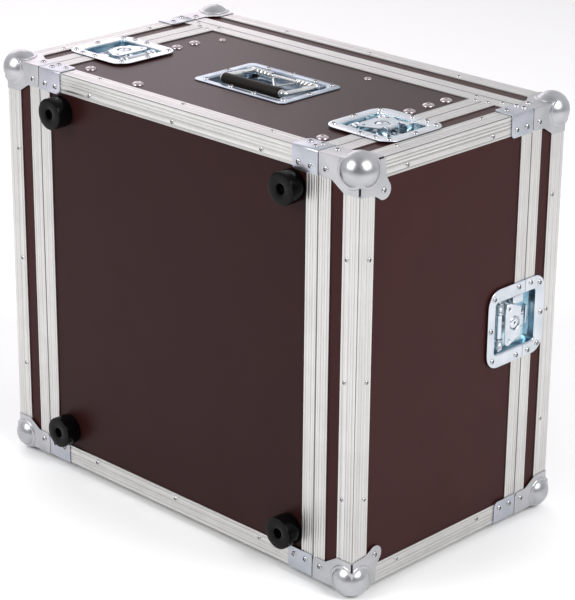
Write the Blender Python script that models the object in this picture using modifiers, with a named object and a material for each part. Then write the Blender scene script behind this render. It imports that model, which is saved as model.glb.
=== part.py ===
"""Rack flight case with a front lid, a rear lid and a top lid, lying on one of its sides.

Run with: blender --background --python part.py   (metres, +Z up)

The case lies as it is often stored: its base with the four rubber feet looks along -Y, its top
lid along +Y, its front lid along +X and its rear lid along -X.  The origin is under the middle
of the whole object, on the surface that it lies on.

Case coordinates run from the outer corner of rear, base and lower side: x from the rear face,
y from the base face, z from the lower side face.  A depth is measured inwards from a face.
"""

import math

import bmesh
import bpy
from mathutils import Matrix, Vector

for leftover in list(bpy.data.objects):
    bpy.data.objects.remove(leftover, do_unlink=True)

MM = 0.001

# ---------------------------------------------------------------- driving dimensions
CASE_LENGTH = 607 * MM        # x, over the edging of both end lids
CASE_HEIGHT = 363 * MM        # y, base to top lid, without feet
CASE_WIDTH = 530 * MM         # z, outer width of a case for 19-inch equipment
LID_DEPTH = 63 * MM           # all three lids
SEAM = 0.3 * MM               # gap between body and lid, and between lid and lid
GAP = 0.3 * MM                # gap between pieces that touch

SKIN = 1.5 * MM               # aluminium profile wall
PLY = 9 * MM                  # plywood thickness
EDGING = 25 * MM              # leg of the outer edging angle
CLOSER = 19 * MM              # width of the closing profile on either side of a joint
GROOVE = 5.5 * MM             # how far a lid's closing profile is set back for the tongue
TONGUE_OUT = 4 * MM           # how far the body's tongue reaches into the groove
TONGUE_THICK = 2.5 * MM
TONGUE_DEPTH = 5 * MM         # depth of the tongue's outer side below the face

BALL_RADIUS = 22.5 * MM
BALL_INSET = 12.5 * MM        # ball centre, in from each of its three faces
CORNER_PLATE = 1.2 * MM
CORNER_ARM = 27.8 * MM        # width of the arm that runs to the joint
CORNER_ROUND = 6 * MM         # at the arm's free corner
CORNER_LEG = 39.4 * MM        # end of the leg along the lid's edge
NOTCH_NEAR = 23.4 * MM        # slanted notch between arm and leg
NOTCH_FAR = 41.6 * MM
CORNER_EAR = 38.5 * MM        # rivet of the panel plate, from both edges
EAR_RADIUS = 11.5 * MM

FOOT_RADIUS = 20 * MM
FOOT_HEIGHT = 20 * MM
FOOT_FROM_JOINT = 40 * MM
FOOT_FROM_SIDE = 49 * MM
FOOT_WELL = 6 * MM            # radius of the screw well
FOOT_WELL_DEPTH = 13 * MM
FOOT_LIP = 1.5 * MM           # chamfer round the foot's end

LATCH_ACROSS = 102 * MM       # plate size along the joint
LATCH_MAIN = 68 * MM          # plate on the side of the dish
LATCH_KEEP = 38.5 * MM        # plate on the side of the keeper
LATCH_ROUND = 20 * MM
CUP_MAIN = 54 * MM            # hollow on the side of the dish
CUP_KEEP = 22 * MM            # hollow on the side of the keeper
CUP_HALF = 33.5 * MM          # half of the hollow along the joint
CUP_FLOOR = 9.4 * MM          # depth of the hollow's floor below the face
CUP_WALL = 1.0 * MM
PLATE = 1.2 * MM              # pressed steel plate of latches and handles
SIDE_LATCH_Y = 125.5 * MM     # where the latches sit along the side joints
SPINDLE_U = -18.5 * MM        # spindle, from the joint
HINGE_U = -3.6 * MM           # wing hinge, from the joint
HINGE_N = 0.2 * MM            # wing hinge, above the face
PIN_U = -42 * MM              # spring pin across the dish
PIN_N = -3.4 * MM
PIN_RADIUS = 2.4 * MM
STEM_RADIUS = 3 * MM          # spindle below the floor
CAM_RADIUS = 11 * MM
CAM_THICK = 3 * MM
HEAD_RADIUS = 7.2 * MM        # spindle head in the middle of the latch
HEAD_TOP = 2.9 * MM
BLADE_HALF = 7 * MM           # hook blade
BLADE_REACH = 9 * MM          # its end, past the joint
STRIKE = (12 * MM, 16 * MM)   # ridge in the keeper that the hook draws towards
STRIKE_HALF = 12 * MM
STRIKE_TOP = -6 * MM
AXLE_RADIUS = 1.2 * MM        # hinge of the wing
TUBE_RADIUS = 2.4 * MM
TUBE_HALF = 7.5 * MM
LUG_V = (8.2 * MM, 10.6 * MM)
WING_BOTTOM = 0.9 * MM        # wing above the face
WING_TOP = 2.4 * MM
WING_NARROW = 18 * MM         # half width at the hinge
WING_WAIST = 20 * MM
WING_TIP = (-10.5 * MM, 20.5 * MM)
WING_TIP_RADIUS = 7 * MM
WING_EYE = 8.6 * MM           # clears the spindle head
WING_HOLE = 2.2 * MM

HANDLE_X = 308 * MM
HANDLE_Y = 156 * MM
HANDLE_LONG = 156 * MM
HANDLE_SHORT = 106 * MM
HANDLE_CUP_LONG = 128 * MM
HANDLE_CUP_SHORT = 82 * MM
HANDLE_PIVOT_V = 31 * MM      # pivot line, from the middle of the dish
HANDLE_PIVOT_N = -2.2 * MM    # pivot line, above the face
BAIL_HALF = 54 * MM           # middle of the dish to the middle of an arm
BAIL_REACH = 57 * MM          # pivot line to grip
BAIL_WIRE = 3.5 * MM          # wire radius
BAIL_TURN = 5.5 * MM          # corner between arm and grip
GRIP_RADIUS = 7 * MM
GRIP_HALF = 48 * MM
GRIP_N = 1.0 * MM             # grip axis above the face when folded
PIVOT_PIN = 2.5 * MM
BAIL_EYE = 4.2 * MM           # radius of the bail's eyes on the pivot line
BEARING_HALF = 5 * MM         # half of a bearing block across the pivot line
BEARING_TOP = 1.6 * MM
HANDLE_ROUND = 9 * MM         # dish corner radius

RACK_OPENING = 450 * MM       # between the rails
RACK_HOLES = 465.1 * MM       # between the rows of holes
RACK_UNIT = 44.45 * MM
RAIL_THICK = 2 * MM
RAIL_BEND = 1 * MM            # the face flange stands proud of the side flange by its bend
RAIL_SIDE = 31 * MM           # flange against the side panel
RAIL_HOLE = 9 * MM
UPRIGHT_UNITS = 5
UPRIGHT_START = 14 * MM       # y of the lower end of an upright rail
UPRIGHT_SETBACK = 20 * MM     # joint to the front of the rail
TOP_RAIL_FROM = 92 * MM
TOP_RAIL_TO = 516 * MM
TOP_RAIL_Y = 277 * MM         # front of the top rail

# ---------------------------------------------------------------- worked-out dimensions
REAR_JOINT = LID_DEPTH
FRONT_JOINT = CASE_LENGTH - LID_DEPTH
TOP_JOINT = CASE_HEIGHT - LID_DEPTH
HALF_SEAM = SEAM / 2
PLY_OUT = SKIN + GAP                    # depth of the plywood's outer side
PLY_IN = PLY_OUT + PLY
INNER = PLY_IN + GAP                    # depth of the inner flange
INNER_END = INNER + SKIN
BALL_OUT = BALL_RADIUS - BALL_INSET
ORIGIN = Vector((-CASE_LENGTH / 2,
                 (FOOT_HEIGHT - CASE_HEIGHT - BALL_OUT) / 2,
                 BALL_OUT))

NORMALS = {
    "base": Vector((0, -1, 0)),
    "top": Vector((0, 1, 0)),
    "front": Vector((1, 0, 0)),
    "rear": Vector((-1, 0, 0)),
    "upper": Vector((0, 0, 1)),
    "lower": Vector((0, 0, -1)),
}
SIZES = (CASE_LENGTH, CASE_HEIGHT, CASE_WIDTH)

# ---------------------------------------------------------------- materials
COLOURS = {
    "brown_ply": ((0.052, 0.031, 0.030), 0.42, 0.0),
    "aluminium_profile": ((0.78, 0.77, 0.76), 0.38, 1.0),
    "zinc_steel": ((0.62, 0.65, 0.68), 0.32, 1.0),
    "black_rubber": ((0.012, 0.012, 0.012), 0.75, 0.0),
    "grip_rubber": ((0.030, 0.028, 0.024), 0.65, 0.0),
    "rail_steel": ((0.45, 0.46, 0.47), 0.40, 1.0),
}


def make_material(name):
    colour, roughness, metallic = COLOURS[name]
    material = bpy.data.materials.new(name)
    material.use_nodes = True
    shader = material.node_tree.nodes["Principled BSDF"]
    shader.inputs["Base Color"].default_value = (*colour, 1.0)
    shader.inputs["Roughness"].default_value = roughness
    shader.inputs["Metallic"].default_value = metallic
    material.diffuse_color = (*colour, 1.0)
    return material


# ---------------------------------------------------------------- scene and small helpers
PARTS = bpy.data.collections.new("rack_flight_case")
CUTTERS = bpy.data.collections.new("cutters")
bpy.context.scene.collection.children.link(PARTS)
bpy.context.scene.collection.children.link(CUTTERS)
MATERIALS = {name: make_material(name) for name in COLOURS}


def slab(face, a, b, depth):
    """A box on a face: two in-plane ranges in x, y, z order, and a range of depths."""
    normal = NORMALS[face]
    axis = max(range(3), key=lambda i: abs(normal[i]))
    if normal[axis] > 0:
        across = (SIZES[axis] - depth[1], SIZES[axis] - depth[0])
    else:
        across = depth
    ranges = [a, b]
    ranges.insert(axis, across)
    return Vector(r[0] for r in ranges), Vector(r[1] for r in ranges)


def mirror(boxes, axis):
    """The same boxes on the other side of the case's middle."""
    mirrored = []
    for low, high in boxes:
        low, high = low.copy(), high.copy()
        low[axis], high[axis] = SIZES[axis] - high[axis], SIZES[axis] - low[axis]
        mirrored.append((low, high))
    return mirrored


def box_mesh(name, boxes):
    mesh = bpy.data.meshes.new(name)
    bm = bmesh.new()
    for low, high in boxes:
        made = bmesh.ops.create_cube(bm, size=1.0)["verts"]
        bmesh.ops.scale(bm, vec=high - low, verts=made)
        bmesh.ops.translate(bm, vec=(low + high) / 2, verts=made)
    bm.to_mesh(mesh)
    bm.free()
    return mesh


def tool_object(name, mesh, matrix=None):
    """A cutter or an adder: it shapes other objects and isn't a part."""
    tool = bpy.data.objects.new(name, mesh)
    tool.hide_render = True
    tool.display_type = "WIRE"
    CUTTERS.objects.link(tool)
    tool.matrix_world = matrix or Matrix.Translation(ORIGIN)
    return tool


def boolean(target, tool, operation, self_union=False):
    modifier = target.modifiers.new(tool.name, "BOOLEAN")
    modifier.operation = operation
    modifier.solver = "EXACT"
    modifier.use_self = self_union
    modifier.object = tool
    return modifier


def part(name, mesh, material, matrix=None):
    obj = bpy.data.objects.new(name, mesh)
    mesh.materials.clear()
    mesh.materials.append(MATERIALS[material])
    PARTS.objects.link(obj)
    obj.matrix_world = matrix or Matrix.Translation(ORIGIN)
    return obj


def box_part(name, boxes, material, cuts=()):
    """A solid joined from boxes that overlap, with boxes cut out of it."""
    obj = part(name, box_mesh(name, boxes[:1]), material)
    if len(boxes) > 1:
        boolean(obj, tool_object(name + "_add", box_mesh(name + "_add", boxes[1:])), "UNION", True)
    if cuts:
        boolean(obj, tool_object(name + "_cut", box_mesh(name + "_cut", cuts)), "DIFFERENCE")
    return obj


def cylinder_mesh(name, radius, start, end, segments):
    """A closed cylinder between two points."""
    start, end = Vector(start), Vector(end)
    mesh = bpy.data.meshes.new(name)
    bm = bmesh.new()
    turn = (end - start).to_track_quat("Z", "Y").to_matrix().to_4x4()
    bmesh.ops.create_cone(bm, cap_ends=True, segments=segments, radius1=radius, radius2=radius,
                          depth=(end - start).length,
                          matrix=Matrix.Translation((start + end) / 2) @ turn)
    bm.to_mesh(mesh)
    bm.free()
    return mesh


def outline_mesh(name, points, bottom, top):
    """A flat outline, extruded from one height to another."""
    curve = bpy.data.curves.new(name, "CURVE")
    curve.dimensions = "2D"
    curve.fill_mode = "BOTH"
    curve.extrude = (top - bottom) / 2
    spline = curve.splines.new("POLY")
    spline.points.add(len(points) - 1)
    for point, (x, y) in zip(spline.points, points):
        point.co = (x, y, 0, 1)
    spline.use_cyclic_u = True
    guide = bpy.data.objects.new(name, curve)
    CUTTERS.objects.link(guide)
    mesh = baked(guide)
    mesh.transform(Matrix.Translation((0, 0, (top + bottom) / 2)))
    return mesh


def tube_mesh(name, points, radius, resolution=2):
    """A round bar along a path of straight runs."""
    curve = bpy.data.curves.new(name, "CURVE")
    curve.dimensions = "3D"
    curve.bevel_depth = radius
    curve.bevel_resolution = resolution
    curve.use_fill_caps = True
    spline = curve.splines.new("POLY")
    spline.points.add(len(points) - 1)
    for point, place in zip(spline.points, points):
        point.co = (*place, 1)
    guide = bpy.data.objects.new(name, curve)
    CUTTERS.objects.link(guide)
    return baked(guide)


def baked(obj):
    """The evaluated mesh of an object, welded; the object is removed."""
    graph = bpy.context.evaluated_depsgraph_get()
    mesh = bpy.data.meshes.new_from_object(obj.evaluated_get(graph))
    bm = bmesh.new()
    bm.from_mesh(mesh)
    bmesh.ops.remove_doubles(bm, verts=bm.verts, dist=0.00001)
    bmesh.ops.recalc_face_normals(bm, faces=bm.faces)
    bm.to_mesh(mesh)
    bm.free()
    bpy.data.objects.remove(obj, do_unlink=True)
    return mesh


def combined(name, first, steps):
    """A mesh after a row of unions and differences with other meshes."""
    work = bpy.data.objects.new(name, first)
    CUTTERS.objects.link(work)
    tools = []
    for index, (operation, mesh) in enumerate(steps):
        tool = tool_object(f"{name}_{index}", mesh, Matrix())
        boolean(work, tool, operation)
        tools.append(tool)
    result = baked(work)
    for tool in tools:
        bpy.data.objects.remove(tool, do_unlink=True)
    result.name = name
    return result


def arc(centre, radius, start, end, steps):
    """Points on an arc, angles in degrees."""
    points = []
    for index in range(steps + 1):
        angle = math.radians(start + (end - start) * index / steps)
        points.append((centre[0] + radius * math.cos(angle), centre[1] + radius * math.sin(angle)))
    return points


def rounded(low, high, radii, steps=4):
    """A rectangle with its own radius at each corner, counter-clockwise from low, low."""
    corners = [(low[0], low[1], 180), (high[0], low[1], 270), (high[0], high[1], 0), (low[0], high[1], 90)]
    points = []
    for (x, y, start), radius in zip(corners, radii):
        if radius == 0:
            points.append((x, y))
            continue
        inward_x = radius if x == low[0] else -radius
        inward_y = radius if y == low[1] else -radius
        points += arc((x + inward_x, y + inward_y), radius, start, start + 90, steps)
    return points


def local_box(u, v, n):
    """A box in the own axes of a latch or a handle."""
    return Vector((u[0], v[0], n[0])), Vector((u[1], v[1], n[1]))


def face_frame(point, along, normal):
    """The placing of a fitting: its first axis runs along, its third axis outwards."""
    along, normal = Vector(along), Vector(normal)
    side = normal.cross(along)
    turn = Matrix((along, side, normal)).transposed().to_4x4()
    return Matrix.Translation(ORIGIN + Vector(point)) @ turn


# ---------------------------------------------------------------- where the latches sit
def latch_sites():
    """Name, point on the joint, direction from dish to keeper, outward normal."""
    sites = []
    for side, z in (("upper", CASE_WIDTH), ("lower", 0.0)):
        normal = NORMALS[side]
        sites.append((f"front_{side}_latch", (FRONT_JOINT, SIDE_LATCH_Y, z), (1, 0, 0), normal))
        sites.append((f"rear_{side}_latch", (REAR_JOINT, SIDE_LATCH_Y, z), (-1, 0, 0), normal))
    middle = CASE_WIDTH / 2
    sites.append(("front_top_latch", (CASE_LENGTH, TOP_JOINT, middle), (0, 1, 0), NORMALS["front"]))
    sites.append(("rear_top_latch", (0.0, TOP_JOINT, middle), (0, 1, 0), NORMALS["rear"]))
    return sites


def latch_windows(depth):
    """Boxes that clear every latch cup, as deep as asked."""
    windows = []
    reach_main = CUP_MAIN + CUP_WALL + GAP
    reach_keep = CUP_KEEP + CUP_WALL + GAP
    half = CUP_HALF + CUP_WALL + GAP
    for _, point, along, normal in latch_sites():
        point, along, normal = Vector(point), Vector(along), Vector(normal)
        side = normal.cross(along)
        corners = []
        for u in (-reach_main, reach_keep):
            for v in (-half, half):
                for n in (-depth, 2 * SKIN):
                    corners.append(point + along * u + side * v + normal * n)
        low = Vector(min(c[i] for c in corners) for i in range(3))
        high = Vector(max(c[i] for c in corners) for i in range(3))
        windows.append((low, high))
    return windows


def touching(boxes, targets):
    """The boxes that reach into any of the targets."""
    kept = []
    for low, high in boxes:
        for other_low, other_high in targets:
            if all(low[i] < other_high[i] and high[i] > other_low[i] for i in range(3)):
                kept.append((low, high))
                break
    return kept


PLY_WINDOWS = latch_windows(PLY_IN + GAP / 2)
FRAME_WINDOWS = latch_windows(PLY_IN)
OUTER = (0.0, SKIN)
INSIDE = (INNER, INNER_END)
SHEET = (PLY_OUT, PLY_IN)
FULL_WIDTH = (0.0, CASE_WIDTH)
CLEAR_WIDTH = (INNER, CASE_WIDTH - INNER)


# ---------------------------------------------------------------- plywood panels
def make_body_panels():
    ends = (REAR_JOINT + HALF_SEAM + SKIN + GAP, FRONT_JOINT - HALF_SEAM - SKIN - GAP)
    box_part("base_panel", [slab("base", ends, CLEAR_WIDTH, SHEET)], "brown_ply")
    rise = (PLY_OUT, TOP_JOINT - HALF_SEAM - SKIN - GAP)
    half_long = HANDLE_CUP_LONG / 2 + CUP_WALL + GAP
    half_short = HANDLE_CUP_SHORT / 2 + CUP_WALL + GAP
    for side in ("upper", "lower"):
        panel = [slab(side, ends, rise, SHEET)]
        handle_window = slab(side, (HANDLE_X - half_long, HANDLE_X + half_long),
                             (HANDLE_Y - half_short, HANDLE_Y + half_short),
                             (-SKIN, PLY_IN + SKIN))
        cuts = touching(PLY_WINDOWS, panel) + [handle_window]
        box_part(f"{side}_side_panel", panel, "brown_ply", cuts)


def make_end_lid_shells():
    start = FRONT_JOINT + HALF_SEAM + GROOVE + SKIN + GAP
    end = CASE_LENGTH - PLY_OUT
    rise = (PLY_OUT, TOP_JOINT - HALF_SEAM - SKIN - GAP)
    width = (PLY_OUT, CASE_WIDTH - PLY_OUT)
    boards = [
        slab("front", rise, width, SHEET),
        slab("base", (start, end), width, SHEET),
        slab("upper", (start, end), rise, SHEET),
        slab("lower", (start, end), rise, SHEET),
    ]
    for name, shell in (("front", boards), ("rear", mirror(boards, 0))):
        box_part(f"{name}_lid_shell", shell, "brown_ply", touching(PLY_WINDOWS, shell))


def make_top_lid_shell():
    start = TOP_JOINT + HALF_SEAM + GROOVE + SKIN + GAP
    rise = (start, CASE_HEIGHT - PLY_OUT)
    length = (PLY_OUT, CASE_LENGTH - PLY_OUT)
    width = (PLY_OUT, CASE_WIDTH - PLY_OUT)
    boards = [
        slab("top", length, width, SHEET),
        slab("front", rise, width, SHEET),
        slab("rear", rise, width, SHEET),
        slab("upper", length, rise, SHEET),
        slab("lower", length, rise, SHEET),
    ]
    box_part("top_lid_shell", boards, "brown_ply", touching(PLY_WINDOWS, boards))


# ---------------------------------------------------------------- aluminium profiles
def make_base_edging():
    """The outer angle along both long edges of the base, between the closing profiles."""
    run = (REAR_JOINT + CLOSER + GAP, FRONT_JOINT - CLOSER - GAP)
    angle = [
        slab("base", run, (CASE_WIDTH - EDGING, CASE_WIDTH), OUTER),
        slab("upper", run, (0.0, EDGING), OUTER),
    ]
    box_part("upper_base_edging", angle, "aluminium_profile")
    box_part("lower_base_edging", mirror(angle, 2), "aluminium_profile")


def body_end_bars():
    """The closing profile round the front opening: a channel with a tongue."""
    outside = (FRONT_JOINT - CLOSER, FRONT_JOINT - HALF_SEAM)
    web = (outside[1] - SKIN, outside[1])
    tongue = (outside[1] - SKIN, outside[1] + TONGUE_OUT)
    tongue_depth = (TONGUE_DEPTH, TONGUE_DEPTH + TONGUE_THICK)
    tongue_width = (TONGUE_DEPTH, CASE_WIDTH - TONGUE_DEPTH)
    rise = (0.0, TOP_JOINT - HALF_SEAM)
    bars = [
        slab("base", outside, FULL_WIDTH, OUTER),
        slab("base", outside, CLEAR_WIDTH, INSIDE),
        slab("base", web, FULL_WIDTH, (0.0, INNER_END)),
        slab("base", tongue, tongue_width, tongue_depth),
    ]
    for side in ("upper", "lower"):
        bars += [
            slab(side, outside, rise, OUTER),
            slab(side, outside, (INNER, rise[1]), INSIDE),
            slab(side, web, rise, (0.0, INNER_END)),
            slab(side, tongue, (TONGUE_DEPTH, rise[1]), tongue_depth),
        ]
    return bars


def body_top_bars():
    """The closing profile along the upper and the lower side, towards the top lid."""
    run = (REAR_JOINT + HALF_SEAM, FRONT_JOINT - HALF_SEAM)
    outside = (TOP_JOINT - CLOSER, TOP_JOINT - HALF_SEAM)
    web = (outside[1] - SKIN, outside[1])
    tongue = (outside[1] - SKIN, outside[1] + TONGUE_OUT)
    bars = []
    for side in ("upper", "lower"):
        bars += [
            slab(side, run, outside, OUTER),
            slab(side, run, outside, INSIDE),
            slab(side, run, web, (0.0, INNER_END)),
            slab(side, run, tongue, (TONGUE_DEPTH, TONGUE_DEPTH + TONGUE_THICK)),
        ]
    return bars


def make_body_closing_frame():
    ends = body_end_bars()
    bars = ends + mirror(ends, 0) + body_top_bars()
    box_part("body_closing_frame", bars, "aluminium_profile", touching(FRAME_WINDOWS, bars))


def make_end_lid_frames():
    """Outer edging and closing profile of an end lid, riveted together at its corners."""
    start = FRONT_JOINT + HALF_SEAM
    rise = (0.0, TOP_JOINT - HALF_SEAM)
    run = (start, CASE_LENGTH)
    rim = (CASE_LENGTH - EDGING, CASE_LENGTH)
    flange = (start, FRONT_JOINT + CLOSER)
    inner = (start + GROOVE, FRONT_JOINT + CLOSER)
    web = (start + GROOVE, start + GROOVE + SKIN)
    top_flange = (TOP_JOINT - CLOSER, rise[1])
    top_web = (rise[1] - SKIN, rise[1])
    inner_web = (0.0, INNER_END)
    bars = [
        slab("base", rim, FULL_WIDTH, OUTER),
        slab("front", (0.0, EDGING), FULL_WIDTH, OUTER),
        slab("base", flange, FULL_WIDTH, OUTER),
        slab("base", inner, CLEAR_WIDTH, INSIDE),
        slab("base", web, FULL_WIDTH, inner_web),
        slab("front", top_flange, FULL_WIDTH, OUTER),
        slab("front", top_flange, CLEAR_WIDTH, INSIDE),
        slab("front", top_web, FULL_WIDTH, inner_web),
    ]
    for side, edge in (("upper", (CASE_WIDTH - EDGING, CASE_WIDTH)), ("lower", (0.0, EDGING))):
        bars += [
            slab("front", rise, edge, OUTER),
            slab(side, rim, rise, OUTER),
            slab("base", run, edge, OUTER),
            slab(side, run, (0.0, EDGING), OUTER),
            slab(side, flange, rise, OUTER),
            slab(side, inner, (INNER, rise[1]), INSIDE),
            slab(side, web, rise, inner_web),
            slab(side, run, top_flange, OUTER),
            slab(side, (start + GROOVE, CASE_LENGTH - INNER), top_flange, INSIDE),
            slab(side, (start + GROOVE, CASE_LENGTH), top_web, inner_web),
        ]
    for name, frame in (("front", bars), ("rear", mirror(bars, 0))):
        box_part(f"{name}_lid_frame", frame, "aluminium_profile", touching(FRAME_WINDOWS, frame))


def make_top_lid_frame():
    start = TOP_JOINT + HALF_SEAM
    rise = (start, CASE_HEIGHT)
    length = (0.0, CASE_LENGTH)
    rim = (CASE_HEIGHT - EDGING, CASE_HEIGHT)
    flange = (start, TOP_JOINT + CLOSER)
    inner = (start + GROOVE, TOP_JOINT + CLOSER)
    web = (start + GROOVE, start + GROOVE + SKIN)
    clear_length = (INNER, CASE_LENGTH - INNER)
    bars = []
    for side, end in (("upper", (CASE_WIDTH - EDGING, CASE_WIDTH)), ("lower", (0.0, EDGING))):
        bars += [
            slab("top", length, end, OUTER),
            slab(side, length, rim, OUTER),
            slab(side, length, flange, OUTER),
            slab(side, clear_length, inner, INSIDE),
            slab(side, length, web, (0.0, INNER_END)),
        ]
        for face in ("front", "rear"):
            bars.append(slab(face, rise, end, OUTER))
    for face, end in (("front", (CASE_LENGTH - EDGING, CASE_LENGTH)), ("rear", (0.0, EDGING))):
        bars += [
            slab("top", end, FULL_WIDTH, OUTER),
            slab(face, rim, FULL_WIDTH, OUTER),
            slab(face, flange, FULL_WIDTH, OUTER),
            slab(face, inner, CLEAR_WIDTH, INSIDE),
            slab(face, web, FULL_WIDTH, (0.0, INNER_END)),
        ]
        for side in ("upper", "lower"):
            bars.append(slab(side, end, rise, OUTER))
    box_part("top_lid_frame", bars, "aluminium_profile", touching(FRAME_WINDOWS, bars))


# ---------------------------------------------------------------- ball corners
def corner_outline_side():
    """Plate on a face that the arm lies on: arm along the first axis, leg along the second."""
    arm_end = LID_DEPTH - 2 * GAP
    points = [(-CORNER_PLATE, -CORNER_PLATE), (arm_end, -CORNER_PLATE)]
    points += arc((arm_end - CORNER_ROUND, CORNER_ARM - CORNER_ROUND), CORNER_ROUND, 0, 90, 3)
    points += [(NOTCH_FAR, CORNER_ARM), (NOTCH_NEAR, CORNER_LEG), (-CORNER_PLATE, CORNER_LEG)]
    return points


def corner_outline_panel():
    """Plate on the lid's panel: it runs out into one ear with a rivet."""
    edge_end = CORNER_LEG + 2 * GAP
    shoulder = (CORNER_LEG + 4 * MM, BALL_RADIUS)
    points = [(-CORNER_PLATE, -CORNER_PLATE), (edge_end, -CORNER_PLATE), shoulder]
    points += arc((CORNER_EAR, CORNER_EAR), EAR_RADIUS, -45, 135, 5)
    points += [(shoulder[1], shoulder[0]), (-CORNER_PLATE, edge_end)]
    return points


def ball_corner_mesh():
    """Axes: arm, then the two other edges, all running inwards from the case's corner."""
    bm = bmesh.new()
    bmesh.ops.create_uvsphere(bm, u_segments=20, v_segments=12, radius=BALL_RADIUS)
    bmesh.ops.translate(bm, vec=(BALL_INSET,) * 3, verts=bm.verts)
    ball = bpy.data.meshes.new("ball")
    bm.to_mesh(ball)
    bm.free()
    low, high = -CORNER_PLATE, -GAP / 2
    plate_y = outline_mesh("plate_a", corner_outline_side(), low, high)
    plate_z = outline_mesh("plate_b", corner_outline_side(), low, high)
    plate_x = outline_mesh("plate_c", corner_outline_panel(), low, high)
    swap_yz = Matrix(((1, 0, 0, 0), (0, 0, 1, 0), (0, 1, 0, 0), (0, 0, 0, 1)))
    to_panel = Matrix(((0, 0, 1, 0), (1, 0, 0, 0), (0, 1, 0, 0), (0, 0, 0, 1)))
    plate_z.transform(swap_yz)
    plate_z.flip_normals()
    plate_x.transform(to_panel)
    far = 2 * LID_DEPTH
    block = box_mesh("block", [(Vector((-GAP / 2,) * 3), Vector((far,) * 3))])
    steps = [("UNION", plate_y), ("UNION", plate_z), ("UNION", plate_x), ("DIFFERENCE", block)]
    return combined("ball_corner", ball, steps)


def make_ball_corners():
    mesh = ball_corner_mesh()
    sites = []
    for side, z in (("upper", CASE_WIDTH), ("lower", 0.0)):
        down = Vector((0, 0, -1 if z else 1))
        for end, x in (("front", CASE_LENGTH), ("rear", 0.0)):
            inward = Vector((-1 if x else 1, 0, 0))
            sites.append((f"{end}_lid_ball_corner_{side}", (x, 0.0, z), inward, Vector((0, 1, 0)), down))
            sites.append((f"top_lid_ball_corner_{end}_{side}", (x, CASE_HEIGHT, z),
                          Vector((0, -1, 0)), inward, down))
    for name, point, arm, second, third in sites:
        if arm.cross(second).dot(third) < 0:
            second, third = third, second
        turn = Matrix((arm, second, third)).transposed().to_4x4()
        part(name, mesh, "zinc_steel", Matrix.Translation(ORIGIN + Vector(point)) @ turn)


# ---------------------------------------------------------------- feet
def foot_mesh():
    """A turned rubber foot with a deep screw well; it points along +Z from the base face."""
    root = -PLY_OUT + GAP
    floor = FOOT_HEIGHT - FOOT_WELL_DEPTH
    profile = [(FOOT_RADIUS, root), (FOOT_RADIUS, FOOT_HEIGHT - FOOT_LIP),
               (FOOT_RADIUS - FOOT_LIP, FOOT_HEIGHT), (FOOT_WELL, FOOT_HEIGHT), (FOOT_WELL, floor),
               (0.0, floor)]
    mesh = bpy.data.meshes.new("foot_profile")
    bm = bmesh.new()
    places = [(0.0, root)] + profile
    verts = [bm.verts.new((radius, 0.0, height)) for radius, height in places]
    for first, second in zip(verts, verts[1:]):
        bm.edges.new((first, second))
    bm.to_mesh(mesh)
    bm.free()
    guide = bpy.data.objects.new("foot_profile", mesh)
    CUTTERS.objects.link(guide)
    screw = guide.modifiers.new("turn", "SCREW")
    screw.steps = 20
    screw.render_steps = 20
    screw.use_merge_vertices = True
    screw.merge_threshold = 0.00005
    return baked(guide)


def make_feet():
    mesh = foot_mesh()
    for end, x in (("front", FRONT_JOINT - FOOT_FROM_JOINT), ("rear", REAR_JOINT + FOOT_FROM_JOINT)):
        for side, z in (("upper", CASE_WIDTH - FOOT_FROM_SIDE), ("lower", FOOT_FROM_SIDE)):
            frame = face_frame((x, 0.0, z), (1, 0, 0), NORMALS["base"])
            part(f"{end}_foot_{side}", mesh, "black_rubber", frame)


# ---------------------------------------------------------------- rack rails
def hole_row(start, count):
    """Centres of rack holes: three to a unit, at the standard pitches."""
    pitches = (6.35 * MM, 22.225 * MM, 38.1 * MM)
    return [start + RACK_UNIT * (index // 3) + pitches[index % 3] for index in range(count)]


def make_rack_rails():
    reach = (CASE_WIDTH - RACK_OPENING) / 2
    row = (CASE_WIDTH - RACK_HOLES) / 2
    hole = (row - RAIL_HOLE / 2, row + RAIL_HOLE / 2)
    against = (INNER, INNER + RAIL_THICK)
    flange = (INNER_END + GAP, reach)
    face = FRONT_JOINT - UPRIGHT_SETBACK
    through = (face - 2 * RAIL_THICK, face + RAIL_THICK)
    up = (UPRIGHT_START, UPRIGHT_START + UPRIGHT_UNITS * RACK_UNIT)
    run = (TOP_RAIL_FROM, TOP_RAIL_TO)
    for side in ("upper", "lower"):
        upright = [slab(side, (face - RAIL_SIDE, face - RAIL_BEND), up, against),
                   slab(side, (face - RAIL_THICK, face), up, flange)]
        holes = [slab(side, through, (y - RAIL_HOLE / 2, y + RAIL_HOLE / 2), hole)
                 for y in hole_row(up[0], 3 * UPRIGHT_UNITS)]
        box_part(f"front_rack_rail_{side}", upright, "rail_steel", holes)
        box_part(f"rear_rack_rail_{side}", mirror(upright, 0), "rail_steel", mirror(holes, 0))
        level = [slab(side, run, (TOP_RAIL_Y - RAIL_SIDE, TOP_RAIL_Y - RAIL_BEND), against),
                 slab(side, run, (TOP_RAIL_Y - RAIL_THICK, TOP_RAIL_Y), flange)]
        count = 3 * int((run[1] - run[0]) / RACK_UNIT)
        margin = (run[1] - run[0] - RACK_UNIT * (count // 3)) / 2
        holes = [slab(side, (x - RAIL_HOLE / 2, x + RAIL_HOLE / 2),
                      (TOP_RAIL_Y - 2 * RAIL_THICK, TOP_RAIL_Y + RAIL_THICK), hole)
                 for x in hole_row(run[0] + margin, count)]
        box_part(f"top_rack_rail_{side}", level, "rail_steel", holes)


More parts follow.
